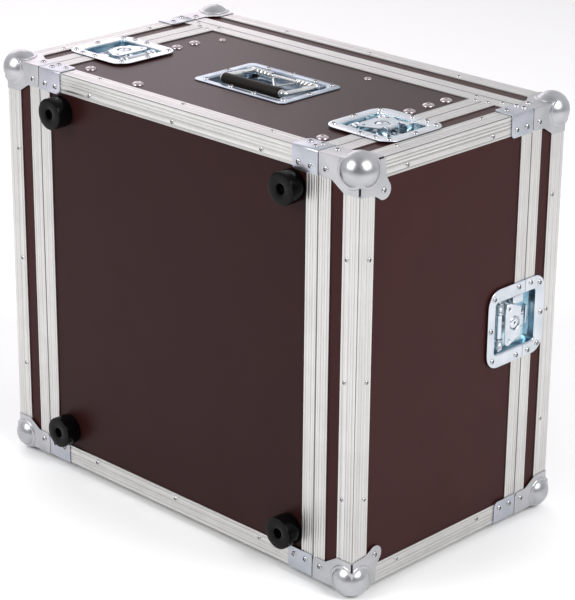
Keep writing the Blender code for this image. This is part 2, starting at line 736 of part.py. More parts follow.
# ---------------------------------------------------------------- butterfly latches
def latch_dish_mesh():
    """Pressed plate with half of the cup, a spring pin across it and the spindle's hole."""
    half = LATCH_ACROSS / 2
    plate = outline_mesh("plate", rounded((-LATCH_MAIN, -half), (-HALF_SEAM, half),
                                          (LATCH_ROUND, 0, 0, LATCH_ROUND)), GAP, GAP + PLATE)
    cup = box_mesh("cup", [local_box((-CUP_MAIN - CUP_WALL, -HALF_SEAM),
                                     (-CUP_HALF - CUP_WALL, CUP_HALF + CUP_WALL),
                                     (-CUP_FLOOR - CUP_WALL, GAP + PLATE / 2))])
    hollow = box_mesh("hollow", [local_box((-CUP_MAIN, SKIN), (-CUP_HALF, CUP_HALF),
                                           (-CUP_FLOOR, 4 * SKIN))])
    bore = cylinder_mesh("bore", STEM_RADIUS + GAP, (SPINDLE_U, 0, -2 * CUP_FLOOR), (SPINDLE_U, 0, 0), 12)
    pin = cylinder_mesh("pin", PIN_RADIUS, (PIN_U, -CUP_HALF - CUP_WALL / 2, PIN_N),
                        (PIN_U, CUP_HALF + CUP_WALL / 2, PIN_N), 10)
    steps = [("UNION", cup), ("DIFFERENCE", hollow), ("DIFFERENCE", bore), ("UNION", pin)]
    return combined("latch_dish", plate, steps)


def latch_keeper_mesh():
    """The other half of plate and cup, with the strike that the hook draws towards."""
    half = LATCH_ACROSS / 2
    plate = outline_mesh("plate", rounded((HALF_SEAM, -half), (LATCH_KEEP, half),
                                          (0, LATCH_ROUND, LATCH_ROUND, 0)), GAP, GAP + PLATE)
    cup = box_mesh("cup", [local_box((HALF_SEAM, CUP_KEEP + CUP_WALL),
                                     (-CUP_HALF - CUP_WALL, CUP_HALF + CUP_WALL),
                                     (-CUP_FLOOR - CUP_WALL, GAP + PLATE / 2))])
    hollow = box_mesh("hollow", [local_box((-SKIN, CUP_KEEP), (-CUP_HALF, CUP_HALF),
                                           (-CUP_FLOOR, 4 * SKIN))])
    strike = box_mesh("strike", [local_box(STRIKE, (-STRIKE_HALF, STRIKE_HALF),
                                           (-CUP_FLOOR - CUP_WALL / 2, STRIKE_TOP))])
    steps = [("UNION", cup), ("DIFFERENCE", hollow), ("UNION", strike)]
    return combined("latch_keeper", plate, steps)


def latch_rotor_mesh():
    """Spindle, cam, hook blade and the two lugs of the wing's hinge; origin on the spindle."""
    floor = -CUP_FLOOR + GAP
    hinge_u = HINGE_U - SPINDLE_U
    top = floor + CAM_THICK
    cam = cylinder_mesh("cam", CAM_RADIUS, (0, 0, floor), (0, 0, top), 16)
    stem = cylinder_mesh("stem", STEM_RADIUS, (0, 0, -CUP_FLOOR - CUP_WALL), (0, 0, floor + MM), 12)
    head = cylinder_mesh("head", HEAD_RADIUS, (0, 0, floor + 2 * MM), (0, 0, HEAD_TOP), 16)
    blade = box_mesh("blade", [local_box((0, BLADE_REACH - SPINDLE_U), (-BLADE_HALF, BLADE_HALF),
                                         (floor + 0.2 * MM, top - 0.4 * MM))])
    lugs = []
    for side in (-1, 1):
        v = sorted(side * edge for edge in LUG_V)
        lugs.append(box_mesh("lug", [local_box((2 * MM, hinge_u + 2 * MM), v,
                                               (floor + 0.4 * MM, HINGE_N + 2 * MM))]))
    axle = cylinder_mesh("axle", AXLE_RADIUS, (hinge_u, -LUG_V[1] + MM, HINGE_N),
                         (hinge_u, LUG_V[1] - MM, HINGE_N), 8)
    notch = box_mesh("notch", [local_box((0, hinge_u - 2.2 * MM), (-LUG_V[1] - MM, LUG_V[1] + MM),
                                         (HINGE_N - 0.6 * MM, 2 * TUBE_RADIUS))])
    steps = [("UNION", stem), ("UNION", blade), ("UNION", lugs[0]), ("UNION", lugs[1]),
             ("UNION", axle), ("DIFFERENCE", notch), ("UNION", head)]
    return combined("latch_rotor", cam, steps)


def wing_outline():
    """The butterfly's outline: wide where the finger lifts it, narrow at its hinge."""
    hinge = HINGE_U - SPINDLE_U
    near = hinge - TUBE_RADIUS - MM
    half = [(hinge, TUBE_HALF), (near, TUBE_HALF), (near, WING_NARROW), (4 * MM, WING_WAIST)]
    half += arc(WING_TIP, WING_TIP_RADIUS, 60, 180, 4)
    return half + [(x, -y) for x, y in reversed(half)]


def latch_wing_mesh():
    """Folding wing with its hinge tube; origin on the hinge line."""
    hinge_u = HINGE_U - SPINDLE_U
    deep = 10 * MM
    plate = outline_mesh("wing", wing_outline(), WING_BOTTOM, WING_TOP)
    tube = cylinder_mesh("tube", TUBE_RADIUS, (hinge_u, -TUBE_HALF, HINGE_N), (hinge_u, TUBE_HALF, HINGE_N), 12)
    bore = cylinder_mesh("bore", AXLE_RADIUS + 0.4 * MM, (hinge_u, -2 * TUBE_HALF, HINGE_N),
                         (hinge_u, 2 * TUBE_HALF, HINGE_N), 10)
    eye = cylinder_mesh("eye", WING_EYE, (0, 0, -deep), (0, 0, deep), 18)
    steps = [("UNION", tube), ("DIFFERENCE", bore), ("DIFFERENCE", eye)]
    for side in (-1, 1):
        place = (WING_TIP[0], side * WING_TIP[1])
        hole = cylinder_mesh("hole", WING_HOLE, (*place, -deep), (*place, deep), 8)
        steps.append(("DIFFERENCE", hole))
    mesh = combined("latch_wing", plate, steps)
    mesh.transform(Matrix.Translation((-hinge_u, 0, -HINGE_N)))
    return mesh


def make_latches():
    dish, keeper = latch_dish_mesh(), latch_keeper_mesh()
    rotor, wing = latch_rotor_mesh(), latch_wing_mesh()
    for name, point, along, normal in latch_sites():
        frame = face_frame(point, along, normal)
        part(f"{name}_dish", dish, "zinc_steel", frame)
        part(f"{name}_keeper", keeper, "zinc_steel", frame)
        part(f"{name}_rotor", rotor, "zinc_steel", frame @ Matrix.Translation((SPINDLE_U, 0, 0)))
        part(f"{name}_wing", wing, "zinc_steel", frame @ Matrix.Translation((HINGE_U, 0, HINGE_N)))


# ---------------------------------------------------------------- spring handles
def handle_dish_mesh():
    """Pressed dish with two bearing blocks for the bail; origin in its middle, on the face."""
    half_long, half_short = HANDLE_LONG / 2, HANDLE_SHORT / 2
    cup_long, cup_short = HANDLE_CUP_LONG / 2, HANDLE_CUP_SHORT / 2
    seat = -PLY_OUT + GAP
    plate = outline_mesh("plate", rounded((-half_long, -half_short), (half_long, half_short),
                                          (HANDLE_ROUND,) * 4, 3),
                         seat, seat + PLATE)
    cup = box_mesh("cup", [local_box((-cup_long - CUP_WALL, cup_long + CUP_WALL),
                                     (-cup_short - CUP_WALL, cup_short + CUP_WALL),
                                     (-CUP_FLOOR - CUP_WALL, seat + PLATE / 2))])
    hollow = box_mesh("hollow", [local_box((-cup_long, cup_long), (-cup_short, cup_short),
                                           (-CUP_FLOOR, 4 * SKIN))])
    steps = [("UNION", cup), ("DIFFERENCE", hollow)]
    for side in (-1, 1):
        u = sorted((side * (cup_long + CUP_WALL / 2), side * (BAIL_HALF + BAIL_WIRE + 0.6 * MM)))
        v = (HANDLE_PIVOT_V - BEARING_HALF, HANDLE_PIVOT_V + BEARING_HALF)
        block = box_mesh("bearing", [local_box(u, v, (-CUP_FLOOR - CUP_WALL / 2, BEARING_TOP))])
        steps.append(("UNION", block))
    far = cup_long - 2 * MM
    bore = cylinder_mesh("bore", PIVOT_PIN + 0.5 * MM, (-far, HANDLE_PIVOT_V, HANDLE_PIVOT_N),
                         (far, HANDLE_PIVOT_V, HANDLE_PIVOT_N), 12)
    steps.append(("DIFFERENCE", bore))
    return combined("handle_dish", plate, steps)


def bail_path():
    """Down one arm, across under the grip and up the other arm, from the pivot line."""
    grip_n = GRIP_N - HANDLE_PIVOT_N
    straight = BAIL_REACH - BAIL_TURN
    knee = straight + 0.7 * BAIL_TURN
    half = [(BAIL_HALF, 0.0, 0.0), (BAIL_HALF, -straight, grip_n * straight / BAIL_REACH),
            (BAIL_HALF - 0.3 * BAIL_TURN, -knee, grip_n * knee / BAIL_REACH),
            (BAIL_HALF - BAIL_TURN, -BAIL_REACH, grip_n)]
    return [(-x, y, z) for x, y, z in half] + list(reversed(half))


def handle_bail_mesh():
    """Bent wire with a pivot pin on each arm; origin on the pivot line."""
    wire = tube_mesh("wire", bail_path(), BAIL_WIRE)
    steps = []
    for side in (-1, 1):
        inner, outer = side * (BAIL_HALF - 2 * MM), side * (BAIL_HALF + 8 * MM)
        steps.append(("UNION", cylinder_mesh("pin", PIVOT_PIN, (inner, 0, 0), (outer, 0, 0), 10)))
        eye = cylinder_mesh("eye", BAIL_EYE, (side * (BAIL_HALF - BAIL_WIRE), 0, 0),
                            (side * (BAIL_HALF + BAIL_WIRE), 0, 0), 14)
        steps.append(("UNION", eye))
    return combined("handle_bail", wire, steps)


def handle_grip_mesh():
    """Rubber sleeve on the bail; origin on the pivot line as the bail's."""
    grip_n = GRIP_N - HANDLE_PIVOT_N
    ends = [(end * GRIP_HALF, -BAIL_REACH, grip_n) for end in (-1, 1)]
    past = [(end * 2 * GRIP_HALF, -BAIL_REACH, grip_n) for end in (-1, 1)]
    sleeve = cylinder_mesh("sleeve", GRIP_RADIUS, *ends, 16)
    bore = cylinder_mesh("bore", BAIL_WIRE + GAP, *past, 12)
    return combined("handle_grip", sleeve, [("DIFFERENCE", bore)])


def make_handles():
    dish, bail, grip = handle_dish_mesh(), handle_bail_mesh(), handle_grip_mesh()
    for side, z, along in (("upper", CASE_WIDTH, (1, 0, 0)), ("lower", 0.0, (-1, 0, 0))):
        frame = face_frame((HANDLE_X, HANDLE_Y, z), along, NORMALS[side])
        pivot = frame @ Matrix.Translation((0, HANDLE_PIVOT_V, HANDLE_PIVOT_N))
        part(f"{side}_handle_dish", dish, "zinc_steel", frame)
        part(f"{side}_handle_bail", bail, "zinc_steel", pivot)
        part(f"{side}_handle_grip", grip, "grip_rubber", pivot)


make_body_panels()
make_end_lid_shells()
make_top_lid_shell()
make_base_edging()
make_body_closing_frame()
make_end_lid_frames()
make_top_lid_frame()
make_ball_corners()
make_feet()
make_rack_rails()
make_latches()
make_handles()

for piece in PARTS.objects:
    piece.data.set_sharp_from_angle(angle=math.radians(35))
bpy.context.view_layer.update()
print(len(PARTS.objects), "parts")
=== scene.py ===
# %% [markdown]
# # A rack flight case, lying on its side
#
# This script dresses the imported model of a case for 19-inch equipment. The case is plywood
# faced with brown phenolic film, held together by aluminium profiles, with pressed steel
# corners, latches and handles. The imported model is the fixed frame: its solids say where
# everything is, and this script gives every surface its finish and every edge its detail.
#
# Loading comes first, because each later step asks the frame for places and sizes.

# %% Load the frame
import math

import bmesh
import bpy
from mathutils import Matrix, Vector


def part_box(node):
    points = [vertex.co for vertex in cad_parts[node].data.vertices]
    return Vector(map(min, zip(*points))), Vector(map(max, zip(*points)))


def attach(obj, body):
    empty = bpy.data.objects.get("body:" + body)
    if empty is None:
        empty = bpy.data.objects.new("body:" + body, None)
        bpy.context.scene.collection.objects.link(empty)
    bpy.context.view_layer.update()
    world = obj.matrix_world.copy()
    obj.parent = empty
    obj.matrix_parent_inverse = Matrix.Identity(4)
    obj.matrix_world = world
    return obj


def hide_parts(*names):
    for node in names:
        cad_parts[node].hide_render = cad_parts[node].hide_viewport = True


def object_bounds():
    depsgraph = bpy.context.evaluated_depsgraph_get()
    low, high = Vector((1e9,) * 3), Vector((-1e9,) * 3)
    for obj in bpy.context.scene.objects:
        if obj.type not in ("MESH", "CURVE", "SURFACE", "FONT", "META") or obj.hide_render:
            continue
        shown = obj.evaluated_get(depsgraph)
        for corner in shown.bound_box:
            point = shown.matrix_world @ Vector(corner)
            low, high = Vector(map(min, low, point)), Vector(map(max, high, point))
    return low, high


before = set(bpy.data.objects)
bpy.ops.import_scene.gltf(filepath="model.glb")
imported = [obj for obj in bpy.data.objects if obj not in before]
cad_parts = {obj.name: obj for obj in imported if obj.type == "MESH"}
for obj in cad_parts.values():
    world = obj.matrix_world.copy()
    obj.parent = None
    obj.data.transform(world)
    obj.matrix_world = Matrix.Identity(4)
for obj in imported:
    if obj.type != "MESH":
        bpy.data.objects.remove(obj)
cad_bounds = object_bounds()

MM = 0.001

# %% [markdown]
# Places are given as a case maker measures them: in millimetres from the outer corner of
# rear, base and lower side. x runs to the front lid, y to the top lid and z across the case.
# The outer sizes come from the frame; the seams between body and lids lie one lid depth in.

# %% Case measure
X, Y, Z = Vector((1, 0, 0)), Vector((0, 1, 0)), Vector((0, 0, 1))
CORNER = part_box("rear_lid_frame")[0]
LENGTH, _, WIDTH = (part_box("front_lid_frame")[1] - CORNER) / MM
HEIGHT = (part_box("top_lid_frame")[1] - CORNER).y / MM
LID = 63.0
FRONT_SEAM, REAR_SEAM, TOP_SEAM = LENGTH - LID, LID, HEIGHT - LID
SEAM_HALF = 0.15
SIDES = {"upper": (WIDTH, -Z), "lower": (0.0, Z)}
ENDS = {"front": (LENGTH, -X, FRONT_SEAM), "rear": (0.0, X, REAR_SEAM)}
QUARTERS = [(side, z, inwards, end, x, inward, seam)
            for side, (z, inwards) in SIDES.items()
            for end, (x, inward, seam) in ENDS.items()]


def case(x, y, z):
    """A world point from case millimetres."""
    return CORNER + Vector((x, y, z)) * MM


print("case", round(LENGTH, 1), "x", round(HEIGHT, 1), "x", round(WIDTH, 1), "mm")

# %% [markdown]
# The camera stands where one is set up for goods of this size: a long lens from three
# metres, a little above, turned so that base and front lid are seen in equal parts. A long
# lens keeps the parallel edges of the case nearly parallel.

# %% Camera
CAMERA_PLACE = Vector((1.8910, -1.9238, 1.3058))
CAMERA_AZIMUTH, CAMERA_ELEVATION, CAMERA_ROLL = 44.157, 21.418, 0.5645
LENS, SENSOR = 136.4, 36


def linked(name, data):
    """A new object in the scene."""
    obj = bpy.data.objects.new(name, data)
    bpy.context.scene.collection.objects.link(obj)
    return obj


def camera_turn(azimuth, elevation, roll):
    """Rotation of a camera that looks along +Y at azimuth 0 and down by the elevation."""
    a, e, r = (math.radians(v) for v in (azimuth, elevation, roll))
    back = Vector((math.sin(a) * math.cos(e), -math.cos(a) * math.cos(e), math.sin(e)))
    level = Vector((math.cos(a), math.sin(a), 0))
    right = level * math.cos(r) + back.cross(level) * math.sin(r)
    return Matrix((right, back.cross(right), back)).transposed().to_4x4()


lens = bpy.data.cameras.new("camera")
lens.lens, lens.sensor_width = LENS, SENSOR
camera = linked("camera", lens)
camera.matrix_world = Matrix.Translation(CAMERA_PLACE) @ camera_turn(
    CAMERA_AZIMUTH, CAMERA_ELEVATION, CAMERA_ROLL)
bpy.context.scene.camera = camera
print("camera at", [round(v, 3) for v in CAMERA_PLACE])

# %% [markdown]
# Small helpers for nodes. One function adds any node, for shaders and for geometry alike:
# its settings are keyword arguments, and its inputs are values or other nodes' outputs.
# Colours are written as the hex values of a colour chart and turned to linear light.

# %% Nodes and colours
def give(socket, value):
    """Sets a socket to a value, or links it to an output or to a node's first output."""
    if isinstance(value, bpy.types.Node):
        value = value.outputs[0]
    if isinstance(value, bpy.types.NodeSocket):
        socket.id_data.links.new(value, socket)
    else:
        socket.default_value = value


def add(tree, kind, inputs=None, **settings):
    """Adds a node with its settings; inputs are given by name or number."""
    made = tree.nodes.new(kind)
    for name, value in settings.items():
        setattr(made, name, value)
    for socket, value in (inputs or {}).items():
        give(made.inputs[socket], value)
    return made


def linear(hex_colour):
    """A four-part linear colour from an sRGB hex value."""
    parts = [int(hex_colour[i:i + 2], 16) / 255 for i in (1, 3, 5)]
    return [c / 12.92 if c <= 0.04045 else ((c + 0.055) / 1.055) ** 2.4 for c in parts] + [1.0]


def new_material(name, colour, metallic, roughness, **sockets):
    """A Principled material; further sockets are named with underscores."""
    material = bpy.data.materials.new(name)
    material.use_nodes = True
    shader = material.node_tree.nodes["Principled BSDF"]
    values = {"Base Color": linear(colour), "Metallic": metallic, "Roughness": roughness}
    values.update({socket.replace("_", " "): value for socket, value in sockets.items()})
    for socket, value in values.items():
        give(shader.inputs[socket], value)
    material.diffuse_color = linear(colour)
    return material, material.node_tree, shader


def ramp(tree, factor, first, second):
    """A colour that runs from the first hex value to the second with the factor."""
    node = add(tree, "ShaderNodeValToRGB", {0: factor})
    for stop, colour in zip(node.color_ramp.elements, (first, second)):
        stop.color = linear(colour)
    return node


def noise(tree, place, size_mm, detail=3.0, roughness=0.5):
    """Noise whose blobs are about size_mm wide."""
    return add(tree, "ShaderNodeTexNoise", {
        "Vector": place, "Scale": 1 / (size_mm * MM), "Detail": detail, "Roughness": roughness})


def bump(shader, height, depth_mm, below=None):
    """Puts a bump of that depth in millimetres on the shader, over the bump below it."""
    inputs = {"Height": height, "Strength": 1.0, "Distance": depth_mm * MM}
    if below is not None:
        inputs["Normal"] = below
    node = add(shader.id_data, "ShaderNodeBump", inputs)
    give(shader.inputs["Normal"], node)
    return node


def roughness_from(shader, factor, low, high):
    """Roughness that follows a pattern."""
    spread = add(shader.id_data, "ShaderNodeMapRange", {
        "Value": factor, "To Min": low, "To Max": high})
    give(shader.inputs["Roughness"], spread)


# %% [markdown]
# **Film-faced birch plywood.** Paper soaked in phenolic resin is pressed on the board hot.
# It is smooth and half matt, dark brown, and at a flat angle it shows the light behind it as
# a grey sheen. The press leaves a fine orange-peel texture, drawn here about 2 mm wide, which
# is a little coarser than the real one so that it shows at all, and a cloudy colour.

# %% Film-faced plywood
FILM_CLOUD_MM, FILM_PEEL_MM, FILM_SPECK_MM = 60, 2.0, 0.9
PEEL_DEPTH_MM, SPECK_DEPTH_MM = 0.02, 0.006


def make_film(name, dark, light):
    material, tree, shader = new_material(name, dark, 0.0, 0.36, Specular_IOR_Level=0.12,
                                          Specular_Tint=linear("#f2d6df"))
    place = add(tree, "ShaderNodeTexCoord").outputs["Object"]
    cloud = noise(tree, place, FILM_CLOUD_MM, 4.0, 0.6)
    peel = noise(tree, place, FILM_PEEL_MM, 2.0)
    speck = noise(tree, place, FILM_SPECK_MM, 2.0, 0.7)
    give(shader.inputs["Base Color"], ramp(tree, cloud, dark, light))
    roughness_from(shader, peel, 0.30, 0.44)
    bump(shader, peel, PEEL_DEPTH_MM, bump(shader, speck, SPECK_DEPTH_MM))
    return material


body_film = make_film("phenolic_film_body", "#230f0e", "#2b1413")
lid_film = make_film("phenolic_film_lids", "#2c1111", "#351716")
print("plywood films", body_film.name, lid_film.name)

# %% [markdown]
# ** Mill-finish aluminium.** The profiles are extruded, so the die leaves long fine lines
# along every bar. The lines follow the bar, not the room, so the pattern reads the bar's own
# UV map: U runs along the bar and V across it, both in tenths of a metre. Faint stains, a few
# centimetres wide, shift the grey. Edges, seam noses and grooves get painted shade, a darker
# grey that stands in for the shadow in the seams and grooves.

# %% Extruded aluminium
UV_UNIT = 100.0
LINE_WIDTH_MM, LINE_LENGTH_MM, LINE_DEPTH_MM = 1.1, 500, 0.05
STAIN_MM, STAIN_SHARE = 35, 0.16


def make_aluminium():
    material, tree, shader = new_material("mill_finish_aluminium", "#e4e2df", 1.0, 0.36)
    bar = add(tree, "ShaderNodeUVMap", uv_map="bar")
    stretch = add(tree, "ShaderNodeMapping", {
        "Vector": bar, "Scale": (UV_UNIT / LINE_LENGTH_MM, UV_UNIT / LINE_WIDTH_MM, 1.0)})
    lines = add(tree, "ShaderNodeTexNoise", {
        "Vector": stretch, "Scale": 1.0, "Detail": 4.0, "Roughness": 0.65})
    stain = noise(tree, add(tree, "ShaderNodeTexCoord").outputs["Object"], STAIN_MM)
    faint = add(tree, "ShaderNodeMath", {0: stain, 1: STAIN_SHARE}, operation="MULTIPLY")
    both = add(tree, "ShaderNodeMath", {0: lines, 1: faint}, operation="ADD")
    spread = add(tree, "ShaderNodeMapRange", {"Value": both, "From Min": 0.38, "From Max": 0.78})
    # painted shade: faces marked in the groove attribute are mixed towards dark grey, standing in for
    # the shadow in seams, along edges and in grooves
    groove = add(tree, "ShaderNodeAttribute", attribute_name="groove").outputs["Fac"]
    shaded = add(tree, "ShaderNodeMix", {
        "Factor": groove, 6: ramp(tree, spread, "#b0afad", "#dfdedc"), 7: linear("#868587")},
        data_type="RGBA")
    give(shader.inputs["Base Color"], shaded.outputs[2])
    roughness_from(shader, lines, 0.28, 0.46)
    bump(shader, lines, LINE_DEPTH_MM)
    return material


aluminium = make_aluminium()
print("profiles", aluminium.name)

# %% [markdown]
# ** Blue zinc plate.** Corners, brackets, latches and handles are pressed from steel sheet,
# plated with zinc and passivated blue. The plate is bright but not a mirror, with a lilac to
# blue cast that drifts over a few centimetres. Inside the latch cups the drawing tool has
# polished the sheet, and the cups are coloured clearly blue: partly the passivation's own
# tint, partly a painted cyan reflection. Bolts, rivets and rails are other metals with the
# same kind of drift, so they come from the same function.

# %% Zinc-plated steel
ZINC_DRIFT_MM, ZINC_GRAIN_MM = 28, 1.1


def make_zinc(name, first, second, smooth, rough, grain_mm=0.012):
    material, tree, shader = new_material(name, first, 1.0, smooth)
    place = add(tree, "ShaderNodeTexCoord").outputs["Object"]
    spread = add(tree, "ShaderNodeMapRange", {
        "Value": noise(tree, place, ZINC_DRIFT_MM, 2.0), "From Min": 0.35, "From Max": 0.65})
    speck = noise(tree, place, ZINC_GRAIN_MM, 3.0, 0.6)
    give(shader.inputs["Base Color"], ramp(tree, spread, first, second))
    roughness_from(shader, speck, smooth, rough)
    bump(shader, speck, grain_mm)
    return material


zinc = make_zinc("blue_passivated_zinc", "#abb0b7", "#bbbbc6", 0.24, 0.40)
latch_zinc = make_zinc("bright_zinc", "#bfc6cc", "#cfd3da", 0.20, 0.32)
ball_zinc = make_zinc("polished_zinc", "#abacaf", "#b8b8bb", 0.29, 0.36, 0.004)
# partly painted reflection: the cups' blue is the passivation's tint with a painted cyan reflection
# in it
cup_zinc = make_zinc("drawn_blue_zinc_and_painted_reflection", "#84a8bd", "#c6d8dd", 0.14, 0.26, 0.006)
handle_zinc = make_zinc("handle_zinc", "#818e9b", "#9fabb6", 0.18, 0.30)
bail_zinc = make_zinc("bright_bail_zinc", "#d2d3d4", "#e2e2e2", 0.16, 0.26)
nickel = make_zinc("nickel_bolt", "#a89fa1", "#bdb4b5", 0.22, 0.32)
rivet_metal = make_zinc("rivet_aluminium", "#b9b8ba", "#d0d0d2", 0.22, 0.32)
rail_zinc = make_zinc("galvanised_rail", "#8f9498", "#a9adb0", 0.34, 0.50, 0.03)
print("plated steels ready")

# %% [markdown]
# ** Rubber and shadow.** The feet are hard black rubber with a moulded satin skin, the grips a
# softer sleeve, a warm dark grey, ground round the tube so that it shows fine rings. Holes in
# rivets, bolts, screws and the spindle, and the openings in the handle dishes, get painted
# shade: a plain near-black colour that stands in for the shadow inside them.

# %% Rubber and painted hole shade
RUBBER_GRAIN_MM, RUBBER_DEPTH_MM, HOLE_SHADE_BUMP_MM = 0.8, 0.02, 0.01
GRIP_RING_MM, GRIP_RING_DEPTH_MM = 3.167, 0.05
WAVE_PERIOD = math.pi / 10  # the wave texture's bands repeat after this length at scale 1


def make_rubber(name, first, second, smooth, rough, depth_mm=RUBBER_DEPTH_MM, ringed=False):
    material, tree, shader = new_material(name, first, 0.0, smooth, Specular_IOR_Level=0.10)
    place = add(tree, "ShaderNodeTexCoord").outputs["Object"]
    grain = noise(tree, place, RUBBER_GRAIN_MM, 3.0, 0.6)
    give(shader.inputs["Base Color"], ramp(tree, grain, first, second))
    roughness_from(shader, grain, smooth, rough)
    fine = bump(shader, grain, depth_mm)
    if ringed:
        rings = add(tree, "ShaderNodeTexWave", {
            "Vector": place, "Scale": WAVE_PERIOD / (GRIP_RING_MM * MM), "Distortion": 0.6,
            "Detail": 2.0}, bands_direction="X")
        bump(shader, rings.outputs[1], GRIP_RING_DEPTH_MM, fine)
    return material


foot_rubber = make_rubber("moulded_black_rubber", "#040304", "#0a0909", 0.16, 0.28)
# painted shade: near black for holes, sockets and openings, standing in for the shadow inside them
painted_hole_shade = make_rubber("painted_hole_shade", "#060606", "#0c0c0c", 0.5, 0.7, HOLE_SHADE_BUMP_MM)
grip_rubber = make_rubber("ground_grip_rubber", "#171411", "#231f1c", 0.40, 0.56, ringed=True)
print("rubbers ready")

# %% [markdown]
# **Carried-over solids.** The panels, lid trays and rack rails have the right shape in the
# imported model, so they keep their meshes and only get their finish: the film on the plywood
# and a dull galvanised coat on the rails.

# %% Finish the carried-over solids
FINISHES = {"_panel": body_film, "_lid_shell": lid_film, "_rack_rail": rail_zinc}
carried = 0
for node_name in sorted(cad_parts):
    for kind, material in FINISHES.items():
        if kind in node_name:
            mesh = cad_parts[node_name].data
            mesh.materials.clear()
            mesh.materials.append(material)
            carried += 1
print(carried, "solids carried over with a new finish")

# %% [markdown]
# **From points to pieces.** These helpers make every mesh below a finished piece. A piece's
# place is in its mesh and its object stays at the origin, because patterns on Object
# coordinates would slide otherwise. Round stretches are shaded smooth, and edges sharper
# than 35 degrees stay crisp.

# %% Piece helpers
SHARP = math.radians(35)


def mesh_from(name, build, outward=True):
    """A mesh from a function that fills a bmesh, its faces turned outwards."""
    bm = bmesh.new()
    build(bm)
    if outward:
        bmesh.ops.recalc_face_normals(bm, faces=bm.faces)
    mesh = bpy.data.meshes.new(name)
    bm.to_mesh(mesh)
    bm.free()
    return mesh


def piece(name, mesh, materials, body, replaces=()):
    """A finished piece that rides on a body and takes its finish from a slot."""
    obj = linked(name, mesh)
    numbers = [face.material_index for face in mesh.polygons]
    mesh.materials.clear()
    for material in materials:
        mesh.materials.append(material)
    mesh.polygons.foreach_set("material_index", numbers)
    mesh.shade_smooth()
    mesh.set_sharp_from_angle(angle=SHARP)
    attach(obj, body)
    if replaces:
        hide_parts(*replaces)
    return obj


def joined(name, meshes):
    """One mesh from several, with their material numbers kept."""
    def build(bm):
        for mesh in meshes:
            bm.from_mesh(mesh)

    return mesh_from(name, build, outward=False)


def moved(mesh, matrix):
    """A copy of a mesh, moved by a matrix."""
    copy = mesh.copy()
    copy.transform(matrix)
    return copy


def axes_at(point, first, second, third):
    """Matrix from a fitting's own millimetres on three axes to the world."""
    turn = Matrix((first, second, third)).transposed().to_4x4()
    return Matrix.Translation(case(*point)) @ turn @ Matrix.Scale(MM, 4)


def placed(point, along, normal):
    """The same for a fitting on a face: its axes run along, across and outwards."""
    return axes_at(point, along, normal.cross(along), normal)


def on_corner(point, arm, second, third):
    """The same on an edge or corner; its two flanks may change places to stay right-handed."""
    if arm.cross(second).dot(third) < 0:
        second, third = third, second
    return axes_at(point, arm, second, third)


def evaluated(obj):
    """The mesh of an object with its modifiers applied; the object is removed."""
    graph = bpy.context.evaluated_depsgraph_get()
    mesh = bpy.data.meshes.new_from_object(obj.evaluated_get(graph))
    bpy.data.objects.remove(obj, do_unlink=True)
    return mesh


def worked(mesh, *steps):
    """A mesh after a row of modifiers, each a kind and its settings."""
    obj = linked("work", mesh)
    for kind, settings in steps:
        modifier = obj.modifiers.new(kind, kind)
        for name, value in settings.items():
            setattr(modifier, name, value)
    return evaluated(obj)


# %% [markdown]
# **Aluminium profiles.** Three sections make the whole frame: the outer angle along the
# case's edges, the body's closing profile with its tongue, and the lid's with the groove
# for it. Each section is drawn once as an outline of (run along the face, depth below it),
# with the ridges of the real die, and is then drawn out along straight bars. A bar's ends
# are cut square or on the mitre, by letting the cut's place grow with the depth.

# %% Profile sections
WALL = 1.5
ANGLE_LEG, ANGLE_GROOVES = 25.0, (21.5, 13.5, 9.5, 5.5)
CLOSER, CLOSER_GROOVES = 19.0, (16.0, 11.5, 7.5, 3.6)
GROOVE_HALF, GROOVE_DEPTH = 0.4, 0.28
CHAMFER = 0.35
INNER_TOP, INNER_END = 11.1, 12.6
EDGE_ROUND, NOSE_ROUND = 1.6, 1.1
TONGUE_LONG, SLOT_DEEP = 4.0, 5.5


def arc(centre, radius, start, end, steps):
    """Points on an arc, both ends included; its angles are in degrees."""
    angles = [math.radians(start + (end - start) * i / steps) for i in range(steps + 1)]
    return [(centre[0] + radius * math.cos(a), centre[1] + radius * math.sin(a)) for a in angles]


def ridged(start, end, grooves):
    """Outline points inwards along the face, with a V groove at each place."""
    points = [(start, CHAMFER), (start - CHAMFER, 0.0)]
    for place in grooves:
        points += [(place + GROOVE_HALF, 0.0), (place, GROOVE_DEPTH), (place - GROOVE_HALF, 0.0)]
    return points + [(end, 0.0)]


def angle_section():
    """Outer angle: leg along the face, round corner, leg down the other face."""
    leg = ridged(ANGLE_LEG, EDGE_ROUND, ANGLE_GROOVES)
    corner = arc((EDGE_ROUND, EDGE_ROUND), EDGE_ROUND, 270, 180, 4)
    other = [(y, x) for x, y in reversed(leg)]
    inside = [(WALL, ANGLE_LEG), (WALL, WALL), (ANGLE_LEG, WALL)]
    return leg[:-1] + corner + other[1:] + inside


def closer_section(tongue):
    """Closing profile, from its free edge to the seam; tongue or groove on the seam side."""
    seam = SEAM_HALF
    outside = ridged(CLOSER, seam + NOSE_ROUND, CLOSER_GROOVES)
    nose = arc((seam + NOSE_ROUND, NOSE_ROUND), NOSE_ROUND, 270, 180, 4)
    if tongue:
        tip, web = seam - TONGUE_LONG, seam + WALL
        middle = [(seam, 5.0), (tip, 5.2), (tip, 7.3), (seam, 7.5), (seam, INNER_END)]
    else:
        back = seam + SLOT_DEEP
        web = back + WALL
        middle = [(seam, WALL), (back, WALL), (back, INNER_END)]
    inside = [(CLOSER, INNER_END), (CLOSER, INNER_TOP), (web, INNER_TOP), (web, WALL), (CLOSER, WALL)]
    return outside[:-1] + nose + middle + inside


ANGLE, TONGUED, PLAIN = angle_section(), closer_section(True), closer_section(False)
print("sections of", len(ANGLE), len(TONGUED), len(PLAIN), "outline points")

